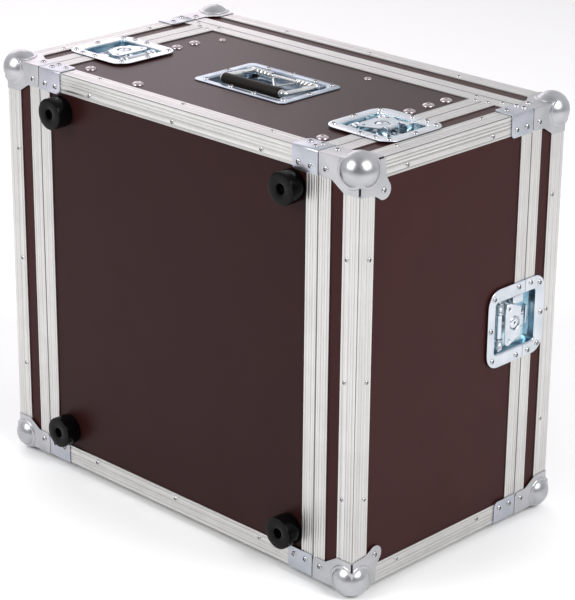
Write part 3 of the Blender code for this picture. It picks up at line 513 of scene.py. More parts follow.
# %% [markdown]
# A bar is a section, the point where its outline starts, the direction that runs along the
# face, the direction that goes into the case, and the axis it is drawn out on. Its faces get
# the UV map that the aluminium reads, and a number that says how much painted shade darkens
# them: full on noses and edges, part in the grooves.

# %% Bars
# painted shade: strips within NOSE_REACH of the section's corner get all of it, groove strips
# GROOVE_SHADE of it
NOSE_REACH, GROOVE_SHADE = 1.3, 0.4


def shading(first, second):
    """How much painted shade a strip of a section gets: full on noses and edges, part in the grooves.
    """
    if max(*first, *second) < NOSE_REACH:
        return 1.0
    return GROOVE_SHADE * float(GROOVE_DEPTH in first or GROOVE_DEPTH in second)


def draw_bar(bm, section, corner, run, depth, axis, span, mitre=(0.0, 0.0)):
    """Adds one bar. span is its start and end on the axis; mitre is how far each end moves
    along the axis per millimetre of depth."""
    layer = bm.loops.layers.uv.get("bar") or bm.loops.layers.uv.new("bar")
    groove = bm.faces.layers.float.get("groove") or bm.faces.layers.float.new("groove")
    rings = []
    for end, slope in zip(span, mitre):
        ring = []
        for p, q in section:
            place = Vector(corner) + run * p + depth * q
            place[axis] = end + slope * q
            ring.append(bm.verts.new(case(*place)))
        rings.append(ring)
    girth = 0.0
    for i, point in enumerate(section):
        j = (i + 1) % len(section)
        width = (Vector(section[j]) - Vector(point)).length
        face = bm.faces.new((rings[0][i], rings[0][j], rings[1][j], rings[1][i]))
        # painted shade: how much of the aluminium's dark grey this strip gets
        face[groove] = shading(point, section[j])
        corners = ((span[0], girth), (span[0], girth + width),
                   (span[1], girth + width), (span[1], girth))
        for loop, (u, v) in zip(face.loops, corners):
            loop[layer].uv = (u / UV_UNIT, v / UV_UNIT)
        girth += width
    for ring in rings:
        for loop in bm.faces.new(ring).loops:
            loop[layer].uv = (0.0, loop.vert.co.length)


def profiles(name, bars, body, replaces=()):
    """A piece of bars that only touch each other, not welded."""
    def build(bm):
        for bar in bars:
            draw_bar(bm, *bar)

    return piece(name, mesh_from(name, build), [aluminium], body, replaces)


# %% [markdown]
# Which bars run where: along the edges of the case, the outer angles end under the ball
# corners; beside the seams, the closing profiles form picture frames with mitred corners.
# They stop at the latch cups, which sit in the profiles, under the latch plates.

# %% Lay out the profiles
LATCH_Y = 125.5
CUP_GAP = 34.8
UNDER_BALL = 38.0
ANGLE_GAP = 0.3
SQUARE, BOTH_MITRED = (0.0, 0.0), (1.0, -1.0)
START_MITRED, END_MITRED = (1.0, 0.0), (0.0, -1.0)
closer_end = TOP_SEAM - CLOSER


def seam_frame(section, seam, away):
    """Closing profiles round an end opening: base, upper and lower side."""
    bars = [(section, (seam, 0, 0), away, Y, 2, (0.0, WIDTH), BOTH_MITRED)]
    for level, inwards in SIDES.values():
        side = (section, (seam, 0, level), away, inwards, 1)
        bars.append((*side, (0.0, LATCH_Y - CUP_GAP), START_MITRED))
        bars.append((*side, (LATCH_Y + CUP_GAP, closer_end), SQUARE))
    return bars


def end_pair(section, face, inward, run):
    """Two bars across an end, beside the top seam, with the latch between them."""
    place = (section, (face, TOP_SEAM, 0), run, inward, 2)
    return [(*place, (0.0, WIDTH / 2 - CUP_GAP), START_MITRED),
            (*place, (WIDTH / 2 + CUP_GAP, WIDTH), END_MITRED)]


def make_body_profiles():
    bars = []
    for _, inward, seam in ENDS.values():
        bars += seam_frame(TONGUED, seam, inward)
    run = (REAR_SEAM + SEAM_HALF, FRONT_SEAM - SEAM_HALF)
    for level, inwards in SIDES.values():
        bars.append((TONGUED, (0, TOP_SEAM, level), -Y, inwards, 0, run))
    profiles("body_closing_profiles", bars, "case_body", ["body_closing_frame"])
    run = (REAR_SEAM + CLOSER + ANGLE_GAP, FRONT_SEAM - CLOSER - ANGLE_GAP)
    for side, (level, inwards) in SIDES.items():
        profiles(f"base_angle_{side}", [(ANGLE, (0, 0, level), inwards, Y, 0, run)],
                 "case_body", [f"{side}_base_edging"])


def make_end_lid_profiles():
    for end, (face, inward, seam) in ENDS.items():
        angles = [(ANGLE, (face, 0, 0), inward, Y, 2, (UNDER_BALL, WIDTH - UNDER_BALL))]
        closers = seam_frame(PLAIN, seam, -inward) + end_pair(TONGUED, face, inward, -Y)
        short = sorted((seam - inward.x * SEAM_HALF, face))
        mitre = END_MITRED if end == "front" else START_MITRED
        for level, inwards in SIDES.values():
            angles.append((ANGLE, (face, 0, level), inward, inwards, 1, (UNDER_BALL, closer_end)))
            closers.append((TONGUED, (0, TOP_SEAM, level), -Y, inwards, 0, short, mitre))
        profiles(f"{end}_lid_angles", angles, f"{end}_lid")
        profiles(f"{end}_lid_closing_profiles", closers, f"{end}_lid", [f"{end}_lid_frame"])


def make_top_lid_profiles():
    angles, closers = [], []
    for level, inwards in SIDES.values():
        angles.append((ANGLE, (0, HEIGHT, level), -Y, inwards, 0, (UNDER_BALL, LENGTH - UNDER_BALL)))
        closers.append((PLAIN, (0, TOP_SEAM, level), Y, inwards, 0, (0.0, LENGTH), BOTH_MITRED))
    for face, inward, _ in ENDS.values():
        angles.append((ANGLE, (face, HEIGHT, 0), -Y, inward, 2, (UNDER_BALL, WIDTH - UNDER_BALL)))
        closers += end_pair(PLAIN, face, inward, Y)
    profiles("top_lid_angles", angles, "top_lid")
    profiles("top_lid_closing_profiles", closers, "top_lid", ["top_lid_frame"])


make_body_profiles()
make_end_lid_profiles()
make_top_lid_profiles()
print("profiles drawn for body and three lids")

# %% [markdown]
# **Shaping helpers.** Pressed and turned parts are made from a few moves: a loft through
# rounded rectangles for drawn sheet, a profile spun about an axis, a flat plate from a
# curve with soft edges, and a wire along a path.

# %% Shaping helpers
WELD_MM = 0.0005
SHEET_WALL = {"thickness": 1.0, "offset": -1.0, "use_even_offset": True}


def rounded_ring(u, v, radius, n):
    """A rounded rectangle at height n, counter-clockwise, for a loft."""
    corners = ((u[0] + radius, v[0] + radius, 180), (u[1] - radius, v[0] + radius, 270),
               (u[1] - radius, v[1] - radius, 0), (u[0] + radius, v[1] - radius, 90))
    return [Vector((a, b, n)) for cu, cv, start in corners
            for a, b in arc((cu, cv), radius, start, start + 90, 6)]


def stepped(u, v, steps):
    """Rings round a rectangle; a step is how far out it lies, its corner radius and height."""
    return [rounded_ring((u[0] - out, u[1] + out), (v[0] - out, v[1] + out), radius, n)
            for out, radius, n in steps]


def pressed(name, rings, inside_from=math.inf, cut=None):
    """Sheet drawn through rings and capped at the last; faces from a ring on get material 1.
    A cut of 1 or -1 keeps the half before or after the seam."""
    def build(bm):
        made = [[bm.verts.new(point) for point in ring] for ring in rings]
        for index, (outer, inner) in enumerate(zip(made, made[1:])):
            for i in range(len(outer)):
                j = (i + 1) % len(outer)
                face = bm.faces.new((outer[i], outer[j], inner[j], inner[i]))
                face.material_index = int(index >= inside_from)
        bm.faces.new(made[-1]).material_index = int(inside_from < math.inf)
        if cut:
            everything = bm.verts[:] + bm.edges[:] + bm.faces[:]
            bmesh.ops.bisect_plane(bm, geom=everything, clear_outer=True,
                                   plane_co=(-cut * PLATE_GAP, 0, 0), plane_no=(cut, 0, 0))

    return worked(mesh_from(name, build, outward=False), ("SOLIDIFY", SHEET_WALL))


def turned_mesh(name, profile, steps=40, hollow=()):
    """A profile of (radius, height) spun about the height; it starts and ends on the axis.
    Faces of the stretches named in hollow get material 1 and the attribute of that name."""
    def build(bm):
        mark = bm.faces.layers.bool.new("hollow")
        angles = [2 * math.pi * i / steps for i in range(steps)]
        rings = [[bm.verts.new((radius * math.cos(a), radius * math.sin(a), height)) for a in angles]
                 if radius else [bm.verts.new((0, 0, height))] for radius, height in profile]
        for index, (first, second) in enumerate(zip(rings, rings[1:])):
            for i in range(steps):
                j = (i + 1) % steps
                corners = [first[i % len(first)], second[i % len(second)],
                           second[j % len(second)], first[j % len(first)]]
                face = bm.faces.new(list(dict.fromkeys(corners)))
                face[mark] = index in hollow
                face.material_index = int(index in hollow)

    return mesh_from(name, build)


def tidy(mesh):
    """The mesh welded, with its faces outwards."""
    def build(bm):
        bm.from_mesh(mesh)
        bmesh.ops.remove_doubles(bm, verts=bm.verts, dist=WELD_MM)

    return mesh_from(mesh.name, build)


def curve_mesh(name, lines, matrix=Matrix(), **settings):
    """The mesh of a curve through lines of points, closed where the curve is flat."""
    curve = bpy.data.curves.new(name, "CURVE")
    for setting, value in settings.items():
        setattr(curve, setting, value)
    for line in lines:
        spline = curve.splines.new("POLY")
        spline.points.add(len(line) - 1)
        for point, place in zip(spline.points, line):
            point.co = (*place, 1)
        spline.use_cyclic_u = curve.dimensions == "2D"
    mesh = evaluated(linked(name, curve))
    mesh.transform(matrix)
    return tidy(mesh)


def plate_mesh(name, outlines, bottom, top, soft):
    """A flat plate with soft edges; outlines after the first are its holes."""
    flat = [[(x, y, 0) for x, y in outline] for outline in outlines]
    return curve_mesh(name, flat, Matrix.Translation((0, 0, (top + bottom) / 2)),
                      dimensions="2D", fill_mode="BOTH", extrude=(top - bottom) / 2 - soft,
                      bevel_depth=soft, bevel_resolution=0, offset=-soft)


def wire_mesh(name, points, radius, sides=3):
    """A round wire along a path."""
    return curve_mesh(name, [points], dimensions="3D", bevel_depth=radius,
                      bevel_resolution=sides, use_fill_caps=True)


def block_mesh(name, low, high, soft, index=0):
    """A block with soft edges."""
    low, high = Vector(low), Vector(high)

    def build(bm):
        bmesh.ops.create_cube(bm, size=1.0)
        bmesh.ops.scale(bm, vec=high - low, verts=bm.verts)
        bmesh.ops.translate(bm, vec=(low + high) / 2, verts=bm.verts)
        bmesh.ops.bevel(bm, geom=list(bm.edges), offset=soft, segments=2, profile=0.5,
                        affect="EDGES")
        for face in bm.faces:
            face.material_index = index

    return mesh_from(name, build)


def turned_to(mesh, start, direction):
    """Moves a mesh made about +Z so that it starts at a point and looks along a direction."""
    turn = Vector(direction).to_track_quat("Z", "Y").to_matrix().to_4x4()
    mesh.transform(Matrix.Translation(Vector(start)) @ turn)
    return mesh


def rod_mesh(name, start, end, radius, soft=0.4, steps=24):
    """A round rod from start to end with soft rims."""
    way = Vector(end) - Vector(start)
    profile = [(0, 0), (radius - soft, 0), (radius, soft), (radius, way.length - soft),
               (radius - soft, way.length), (0, way.length)]
    return turned_to(turned_mesh(name, profile, steps), start, way)


# %% [markdown]
# **Ball corners.** Each is drawn from one sheet: a ball over the corner in a low collar, an
# arm on two faces out to the seam, and an ear on the lid's panel, all flowing into each
# other. Joining the solids, remeshing them at half a millimetre and smoothing a little gives
# the soft throats that drawing leaves; a decimation then takes the spare faces away.

# %% Ball corners
BALL_RADIUS, BALL_INSET = 22.5, 12.5
COLLAR_RADIUS, COLLAR_HIGH = 19.8, 2.6
UNDER = 8.0  # the plates start here, hidden under the ball
SHEET, OVERLAP = 1.2, 0.05
CORNER_ARM, CORNER_LEG = 27.8, 39.4
ARM_END, ARM_ROUND = LID - 0.6, 7
NOTCH = ((41.6, CORNER_ARM), (23.4, CORNER_LEG))
EAR, EAR_RADIUS = 38.5, 11.5
VOXEL_MM, SMOOTHING, CORNER_SHARE = 0.55, 3, 0.16
SLOT_FROM, SLOT_TO, SLOT_HALF = 28.0, 48.0, 1.2
ACROSS = Matrix(((1, 0, 0), (0, 0, 1), (0, 1, 0))).to_4x4()
ROUND = Matrix(((0, 0, 1), (1, 0, 0), (0, 1, 0))).to_4x4()


def extruded(outline, bottom, top):
    def build(bm):
        face = bm.faces.new([bm.verts.new((x, y, bottom)) for x, y in outline])
        lifted = bmesh.ops.extrude_face_region(bm, geom=[face])["geom"]
        verts = [v for v in lifted if isinstance(v, bmesh.types.BMVert)]
        bmesh.ops.translate(bm, vec=(0, 0, top - bottom), verts=verts)

    return mesh_from("plate", build)


def on_three_faces(outlines, bottom):
    """One plate on each face of the corner: as drawn, mirrored across the edge, and turned."""
    plates = [extruded(outline, bottom, -OVERLAP) for outline in outlines]
    plates[1].transform(ACROSS)
    plates[1].flip_normals()
    plates[2].transform(ROUND)
    return plates


def less(mesh, tool):
    """The mesh with the tool's volume taken away."""
    cutter = linked("cutter", tool)
    left = worked(mesh, ("BOOLEAN", {"object": cutter, "operation": "DIFFERENCE"}))
    bpy.data.objects.remove(cutter, do_unlink=True)
    return left


def ball_cap(size=100):
    """The part of the ball that lies outside the case."""
    def ball(bm):
        bmesh.ops.create_uvsphere(bm, u_segments=64, v_segments=32, radius=BALL_RADIUS)
        bmesh.ops.translate(bm, vec=(BALL_INSET,) * 3, verts=bm.verts)

    def inside(bm):
        bmesh.ops.create_cube(bm, size=size)
        bmesh.ops.translate(bm, vec=(size / 2 - OVERLAP,) * 3, verts=bm.verts)

    return less(mesh_from("ball", ball), mesh_from("inside", inside))


def corner_mesh():
    side = [(UNDER, -SHEET), (ARM_END, -SHEET)]
    side += arc((ARM_END - ARM_ROUND, CORNER_ARM - ARM_ROUND), ARM_ROUND, 0, 90, 8)
    side += [*NOTCH, (-SHEET, CORNER_LEG), (-SHEET, UNDER)]
    panel = [(UNDER, -SHEET), (40, -SHEET), (42, 22), *arc((EAR, EAR), EAR_RADIUS, -45, 135, 14),
             (22, 42), (-SHEET, 40), (-SHEET, UNDER)]
    turn = math.degrees(math.asin((BALL_INSET + COLLAR_HIGH) / COLLAR_RADIUS))
    ring = arc((BALL_INSET, BALL_INSET), COLLAR_RADIUS, -turn, 90 + turn, 36)
    collar = [(UNDER, -COLLAR_HIGH), *ring, (-COLLAR_HIGH, UNDER)]
    solids = [ball_cap()] + on_three_faces([side, side, panel], -SHEET)
    solids += on_three_faces([collar] * 3, -COLLAR_HIGH)
    whole = worked(joined("corner", solids),
                   ("REMESH", {"mode": "VOXEL", "voxel_size": VOXEL_MM}),
                   ("SMOOTH", {"factor": 0.5, "iterations": SMOOTHING}),
                   ("DECIMATE", {"ratio": CORNER_SHARE}))
    slots = [block_mesh("slot", (-3, -3, SLOT_FROM), (SLOT_HALF, SLOT_HALF, SLOT_TO), 0.2),
             block_mesh("slot", (-3, SLOT_FROM, -3), (SLOT_HALF, SLOT_TO, SLOT_HALF), 0.2)]
    return less(whole, joined("slots", slots))


def corner_sites():
    """Name, body, corner, and the directions of the arm and of the two other edges."""
    for side, z, inwards, end, x, inward, _ in QUARTERS:
        yield (f"{end}_lid_ball_corner_{side}", f"{end}_lid", Vector((x, 0, z)),
               inward, Y, inwards)
        yield (f"top_lid_ball_corner_{end}_{side}", "top_lid", Vector((x, HEIGHT, z)),
               -Y, inward, inwards)


master = corner_mesh()
for name, body, *site in corner_sites():
    piece(f"drawn_{name}", moved(master, on_corner(*site)), [ball_zinc], body, [name])
print("ball corner of", len(master.polygons), "faces, eight times")

# %% [markdown]
# **Corner brackets.** Beside each seam, a folded plate ties the outer angle to the closing
# profiles. It is a ruled sheet: a path round the fold, drawn out along the edge to a length
# that shortens at the free corners to round them, and then given its thickness.

# %% Corner brackets
BRACKET_WIDE, BRACKET_LONG, BRACKET_ROUND, BRACKET_FROM = 28.0, 40.0, 6.0, 0.4
FOLD_INNER = EDGE_ROUND + SEAM_HALF


def bracket_mesh():
    straight = BRACKET_WIDE - BRACKET_ROUND
    flank = [straight + BRACKET_ROUND * math.sin(math.radians(a)) for a in range(90, -1, -15)]
    path = [(w, -SEAM_HALF, w) for w in flank]
    path += [(b, a, 0.0) for a, b in arc((EDGE_ROUND, EDGE_ROUND), FOLD_INNER, 180, 270, 6)]
    path += [(-SEAM_HALF, w, w) for w in reversed(flank)]

    def build(bm):
        rows = []
        for second, third, w in path:
            over = max(0.0, w - straight)
            end = BRACKET_LONG - BRACKET_ROUND + math.sqrt(max(0.0, BRACKET_ROUND ** 2 - over ** 2))
            rows.append([bm.verts.new((a, second, third)) for a in (BRACKET_FROM, end)])
        for (a, b), (c, d) in zip(rows, rows[1:]):
            bm.faces.new((a, b, d, c))

    sheet = mesh_from("bracket", build)
    if sum(face.normal.y + face.normal.z for face in sheet.polygons) >= 0:
        sheet.flip_normals()
    return worked(sheet, ("SOLIDIFY", {"thickness": SHEET, "offset": 1.0, "use_even_offset": True}),
                  ("BEVEL", {"width": 0.3, "segments": 2, "limit_method": "ANGLE",
                             "angle_limit": SHARP}))


def bracket_sites():
    """Name, body, point on the edge at the seam, and the directions along, and down both faces."""
    for side, z, inwards, end, x, inward, seam in QUARTERS:
        yield (f"body_bracket_{end}_{side}", "case_body", Vector((seam, 0, z)),
               inward, Y, inwards)
        yield (f"{end}_lid_bracket_{side}", f"{end}_lid", Vector((x, TOP_SEAM, z)),
               -Y, inward, inwards)


master = bracket_mesh()
for name, body, *site in bracket_sites():
    piece(name, moved(master, on_corner(*site)), [zinc], body)
print("bracket of", len(master.polygons), "faces, eight times")

# %% [markdown]
# **Butterfly latches.** The plate and its cup are drawn from one sheet across the seam and
# then cut in two, so one loft makes both: rings from the plate's edge over the rim of the cup
# and down to its floor. Cutting the loft at the seam leaves the dish and the keeper.

# %% Latch plates
LATCH_U, LATCH_V, LATCH_ROUND = (-68.0, 38.5), (-51.0, 51.0), 20.0
CUP_U, CUP_V, CUP_FLOOR = (-54.0, 22.0), (-33.5, 33.5), -9.4
PLATE_TOP, PLATE_GAP = 1.5, 0.35
LATCH_SITES = [(f"{end}_{side}_latch", Vector((seam, LATCH_Y, z)), -inward, -inwards,
                "case_body", f"{end}_lid") for side, z, inwards, end, _, inward, seam in QUARTERS]
LATCH_SITES += [(f"{end}_top_latch", Vector((x, TOP_SEAM, WIDTH / 2)), Y, -inward,
                 f"{end}_lid", "top_lid") for end, (x, inward, _) in ENDS.items()]


def latch_half(way):
    """One half of the drawn sheet: the dish's at 1, the keeper's at -1."""
    plate = stepped(LATCH_U, LATCH_V, [
        (0, LATCH_ROUND, PLATE_TOP - 0.5), (-0.3, LATCH_ROUND - 0.3, PLATE_TOP - 0.12),
        (-0.9, LATCH_ROUND - 0.9, PLATE_TOP)])
    cup = stepped(CUP_U, CUP_V, [
        (2.2, 5.5, PLATE_TOP), (1.0, 4.8, PLATE_TOP - 0.25), (0.2, 4.4, PLATE_TOP - 1.1),
        (0, 4.2, PLATE_TOP - 2.0), (-0.6, 4.0, CUP_FLOOR + 1.6), (-1.2, 3.6, CUP_FLOOR + 0.4),
        (-2.4, 3.0, CUP_FLOOR)])
    return pressed("latch_half", plate + cup, inside_from=5, cut=way)


# %% [markdown]
# In the dish sit a spring sleeve on its pin, with a torsion spring at either end, and a
# pressed step beside the seam. The keeper has the strike that the hook pulls on.

# %% Dishes and keepers
PIN_U, PIN_N, PIN_HALF, PIN_RADIUS = -42.0, -3.6, 32.8, 2.2
SLEEVE_RADIUS, SLEEVE_HALF = 3.9, 15.5
COIL_FROM, COIL_TO, COIL_TURNS, COIL_STEPS = 16.6, 28.0, 5.5, 14
COIL_RADIUS, COIL_WIRE = 4.7, 0.85
PIN_EAR = 29.5


def coil_points(span, radius, turns, u, n):
    """Points of a coil round a line along v."""
    count = int(turns * COIL_STEPS)
    shares = [i / count for i in range(count + 1)]
    return [(u + radius * math.cos(2 * math.pi * turns * share),
             span[0] + (span[1] - span[0]) * share,
             n + radius * math.sin(2 * math.pi * turns * share)) for share in shares]


def dish_mesh():
    parts = [latch_half(1), block_mesh("step", (-20.0, 22.5, CUP_FLOOR), (-0.4, 33.3, -0.6), 0.9)]
    for half, radius in ((PIN_HALF, PIN_RADIUS), (SLEEVE_HALF, SLEEVE_RADIUS)):
        parts.append(rod_mesh("pin", (PIN_U, -half, PIN_N), (PIN_U, half, PIN_N), radius))
    for way in (-1, 1):
        coil = coil_points((way * COIL_FROM, way * COIL_TO), COIL_RADIUS, COIL_TURNS, PIN_U, PIN_N)
        tail = [(PIN_U + 13.0, way * 29.0, PIN_N - 3.4)]
        parts.append(wire_mesh("spring", coil + tail, COIL_WIRE))
        parts.append(block_mesh("ear", (PIN_U - 3.4, way * PIN_EAR - 1.0, CUP_FLOOR),
                                (PIN_U + 3.4, way * PIN_EAR + 1.0, 0.2), 0.5))
    return joined("dish", parts)


def keeper_mesh():
    strike = block_mesh("strike", (12.0, -12.0, CUP_FLOOR - 0.4), (16.0, 12.0, -6.0), 0.8)
    return joined("keeper", [latch_half(-1), strike])


dish, keeper = dish_mesh(), keeper_mesh()
for name, *site, host, other in LATCH_SITES:
    for what, mesh, body, node in (("plate_with_spring", dish, host, "dish"),
                                   ("strike_plate", keeper, other, "keeper")):
        piece(f"{name}_{what}", moved(mesh, placed(*site)), [latch_zinc, cup_zinc], body,
              [f"{name}_{node}"])
print(len(LATCH_SITES), "latches, dish and keeper each")

# %% [markdown]
# The rotor turns in the dish: a spindle with a domed head, its cam, the hook blade and two
# lugs. The wing folds on the lugs. It is the flat butterfly that a hand turns, with a round
# eye for the spindle head and a hole in each tip.

# %% Rotors and wings
SPINDLE_U, HINGE_U, HINGE_N = -18.5, -3.6, 0.2
HINGE = HINGE_U - SPINDLE_U
HEAD_RADIUS, CAM_RADIUS, EYE_RADIUS = 8.0, 11.0, 9.4
CAM_FLOOR, STEM_END = CUP_FLOOR + 0.3, CUP_FLOOR - 0.9
WING_BOTTOM, WING_TOP, WING_HALF = 0.9, 2.4, 7.4
WING_TIP, WING_TIP_RADIUS, TIP_HOLE = (-10.5, 20.5), 7.0, 2.3


def rotor_mesh():
    profile = [(0, 0.6), (1.5, 0.6), (1.6, 2.3), (2.3, 2.85), (4.6, 2.7), (6.6, 2.1), (7.7, 1.2),
               (HEAD_RADIUS, 0.2), (7.2, -1.2), (6.4, CAM_FLOOR + 3.0),
               (CAM_RADIUS - 0.4, CAM_FLOOR + 3.0), (CAM_RADIUS, CAM_FLOOR + 2.6),
               (CAM_RADIUS, CAM_FLOOR), (3.0, CAM_FLOOR), (3.0, STEM_END), (0, STEM_END)]
    parts = [turned_mesh("spindle", profile, 48, hollow=(0, 1)),
             block_mesh("blade", (0, -7, CAM_FLOOR + 0.2), (27.5, 7, CAM_FLOOR + 2.6), 0.6)]
    for way in (-1, 1):
        v = sorted((way * 8.2, way * 10.6))
        parts.append(block_mesh("lug", (2, v[0], CAM_FLOOR + 0.4),
                                (HINGE + 1.9, v[1], HINGE_N + 1.9), 0.5))
    parts.append(rod_mesh("axle", (HINGE, -10.2, HINGE_N), (HINGE, 10.2, HINGE_N), 1.2, 0.3, 16))
    return joined("rotor", parts)


def wing_mesh():
    near = HINGE - 3.4
    half = [(HINGE - 0.2, WING_HALF), (near, WING_HALF), (near, 17.2)]
    half += arc((near - 1.8, 17.2), 1.8, 0, 80, 4)
    half += arc(WING_TIP, WING_TIP_RADIUS, 52, 180, 12)
    outline = half + [(x, -y) for x, y in reversed(half)]
    holes = [arc((0.0, 0.0), EYE_RADIUS, 0, 360, 40)[:-1]]
    holes += [arc((WING_TIP[0], way * WING_TIP[1]), TIP_HOLE, 0, 360, 24)[:-1] for way in (-1, 1)]
    plate = plate_mesh("wing", [outline] + holes, WING_BOTTOM, WING_TOP, 0.35)
    tube = rod_mesh("tube", (HINGE, -WING_HALF, HINGE_N), (HINGE, WING_HALF, HINGE_N), 2.35)
    return joined("wing", [plate, tube])


rotor, wing = rotor_mesh(), wing_mesh()
for name, *site, _, _ in LATCH_SITES:
    place = placed(*site) @ Matrix.Translation((SPINDLE_U, 0, 0))
    # painted shade: the hole in the spindle head gets the near-black hole colour
    piece(f"{name}_spindle_and_hook", moved(rotor, place), [latch_zinc, painted_hole_shade],
          f"{name}_cam", [f"{name}_rotor"])
    piece(f"{name}_butterfly", moved(wing, place), [latch_zinc], f"{name}_flap",
          [f"{name}_wing"])

# %% [markdown]
# **Spring handles.** A drawn dish like the latch's, but set in the panel. The bail is bent
# wire with eyes on the pivot line, the grip a rubber sleeve, and a torsion spring on the
# pivot presses the bail back into the dish with a V that bears on its floor.

# %% Handle dishes
HANDLE_X, HANDLE_Y = 308.0, 156.0
DISH_U, DISH_V = (-78.0, 78.0), (-53.0, 53.0)
HOLLOW_U, HOLLOW_V = (-64.0, 64.0), (-41.0, 41.0)
DISH_TOP = -0.3
PIVOT_V, PIVOT_N = 31.0, -2.2
BAIL_HALF, BAIL_REACH, BAIL_WIRE, BAIL_TURN = 54.0, 57.0, 3.5, 5.5
GRIP_RADIUS, GRIP_HALF, GRIP_RISE = 7.0, 48.0, 3.2
SPRING_WIRE, SPRING_RADIUS = 1.1, 3.7


def handle_dish_mesh():
    plate = stepped(DISH_U, DISH_V, [
        (0, 9.0, DISH_TOP - 0.6), (-0.4, 8.6, DISH_TOP - 0.1), (-1.0, 8.2, DISH_TOP)])
    hollow = stepped(HOLLOW_U, HOLLOW_V, [
        (3.5, 8.0, DISH_TOP), (1.6, 7.4, DISH_TOP - 0.5), (0.2, 6.6, DISH_TOP - 1.6),
        (-0.8, 6.0, CUP_FLOOR + 2.6), (-2.0, 5.4, CUP_FLOOR + 0.8), (-4.5, 4.5, CUP_FLOOR)])
    parts = [pressed("handle_dish", plate + hollow)]
    for way in (-1, 1):
        near, far = sorted((way * 63.6, way * (BAIL_HALF + BAIL_WIRE + 0.8)))
        parts.append(block_mesh("bearing", (near, PIVOT_V - 5, CUP_FLOOR),
                                (far, PIVOT_V + 5, 1.2), 1.0))
        near, far = sorted((way * 63.2, way * 54.5))
        # painted shade: a near-black block stands in the opening beside each bearing
        parts.append(block_mesh("opening", (near, PIVOT_V + 5.4, CUP_FLOOR),
                                (far, PIVOT_V + 9.2, -1.9), 0.3, index=1))
    return joined("handle_dish", parts)


# %% [markdown]
# The moving half is drawn about the pivot line, which is the x axis here: the bail runs from
# eye to eye and lies a little above the pivot at the grip.

# %% Bail, grip and spring
def bail_mesh():
    straight = BAIL_REACH - BAIL_TURN
    half = [(BAIL_HALF, 0.0, 0.0), (BAIL_HALF, -straight * 0.5, GRIP_RISE * 0.45)]
    for x, y in arc((BAIL_HALF - BAIL_TURN, -straight), BAIL_TURN, 0, -90, 6):
        half.append((x, y, GRIP_RISE * -y / BAIL_REACH))
    half.append((GRIP_HALF - 6, -BAIL_REACH, GRIP_RISE))
    path = half + [(-x, y, z) for x, y, z in reversed(half)]
    eye = [(0, -3.4), (3.6, -3.4), (4.2, -2.8), (4.2, 2.8), (3.6, 3.4), (0, 3.4)]
    collar = [(0, 0), (4.4, 0.0), (5.0, 0.8), (5.0, 2.6), (4.2, 3.6), (0, 3.6)]
    parts = [wire_mesh("bail", path, BAIL_WIRE, 4)]
    for way in (-1, 1):
        parts.append(turned_to(turned_mesh("eye", eye, 28), X * way * BAIL_HALF, X))
        parts.append(rod_mesh("pin", X * way * (BAIL_HALF - 2), X * way * 61.5, 2.4, 0.5))
        parts.append(turned_to(turned_mesh("collar", collar, 28),
                               (way * (GRIP_HALF - 0.2), -BAIL_REACH, GRIP_RISE), X * way))
    return joined("bail", parts)


def grip_mesh():
    end = [(0, 0), (5.6, 0), (6.7, 0.5), (GRIP_RADIUS, 1.6)]
    length = 2 * GRIP_HALF - 0.4
    profile = end + [(GRIP_RADIUS, length * f) for f in (0.25, 0.5, 0.75)]
    profile += [(r, length - z) for r, z in reversed(end)]
    return turned_to(turned_mesh("grip", profile), (-length / 2, -BAIL_REACH, GRIP_RISE), X)


def spring_mesh():
    """Axle between the eyes, two coils on it and the V between them."""
    parts = [rod_mesh("axle", X * -50, X * 50, 2.3)]
    for way in (-1, 1):
        coil = coil_points((way * 46, way * 20), SPRING_RADIUS, 8, 0, 0)
        tail = [(way * 16.0, -4.5, -2.0), (0.0, -19.0, CUP_FLOOR - PIVOT_N + SPRING_WIRE)]
        parts.append(wire_mesh("spring", [(v, u, n) for u, v, n in coil] + tail, SPRING_WIRE))
        leg = [(way * 46, SPRING_RADIUS, 0), (way * 48.5, 1.0, SPRING_RADIUS),
               (way * 49.0, -10, 2.6), (way * 49.4, -22, 3.2)]
        parts.append(wire_mesh("leg", leg, SPRING_WIRE))
    return joined("handle_spring", parts)


dish, bail, grip, spring = handle_dish_mesh(), bail_mesh(), grip_mesh(), spring_mesh()
for side, along in (("upper", X), ("lower", -X)):
    level, inwards = SIDES[side]
    place = placed((HANDLE_X, HANDLE_Y, level), along, -inwards)
    pivot = place @ Matrix.Translation((0, PIVOT_V, PIVOT_N))
    body = f"{side}_handle"
    piece(f"{body}_pressed_dish", moved(dish, place), [handle_zinc, painted_hole_shade], "case_body",
          [f"{body}_dish"])
    piece(f"{body}_bent_bail", moved(bail, pivot), [bail_zinc], body,
          [f"{body}_bail"])
    piece(f"{body}_sleeve", moved(grip, pivot), [grip_rubber], body,
          [f"{body}_grip"])
    piece(f"{body}_torsion_spring", moved(spring, pivot), [bail_zinc], "case_body")
print("two handles with dish, spring, bail and grip")

# %% [markdown]
# **Rubber feet.** Turned about the screw: a drum with softened rims, a well for the screw,
# a steel washer at the bottom of the well and the head of the screw on it.

# %% Feet
FOOT_FROM_SEAM, FOOT_FROM_SIDE = 40.0, 49.0
FOOT_RADIUS = FOOT_HIGH = 20.0
DRUM = [(0, 7), (6.2, 7), (6.4, 18.9), (6.7, 19.6), (7.6, FOOT_HIGH), (18.9, FOOT_HIGH),
        (19.7, 19.7), (FOOT_RADIUS, 18.9), (FOOT_RADIUS, 9.0), (FOOT_RADIUS, 2.0), (19.4, 0.9),
        (19.4, -1.4), (0, -1.4)]
WASHER = [(0, 7.1), (5.9, 7.1), (5.9, 8.3), (5.3, 8.7), (0, 8.7)]
SCREW = [(0, 9.6), (1.4, 9.6), (1.6, 11.0), (3.0, 10.8), (4.2, 9.8), (4.4, 8.7), (0, 8.7)]

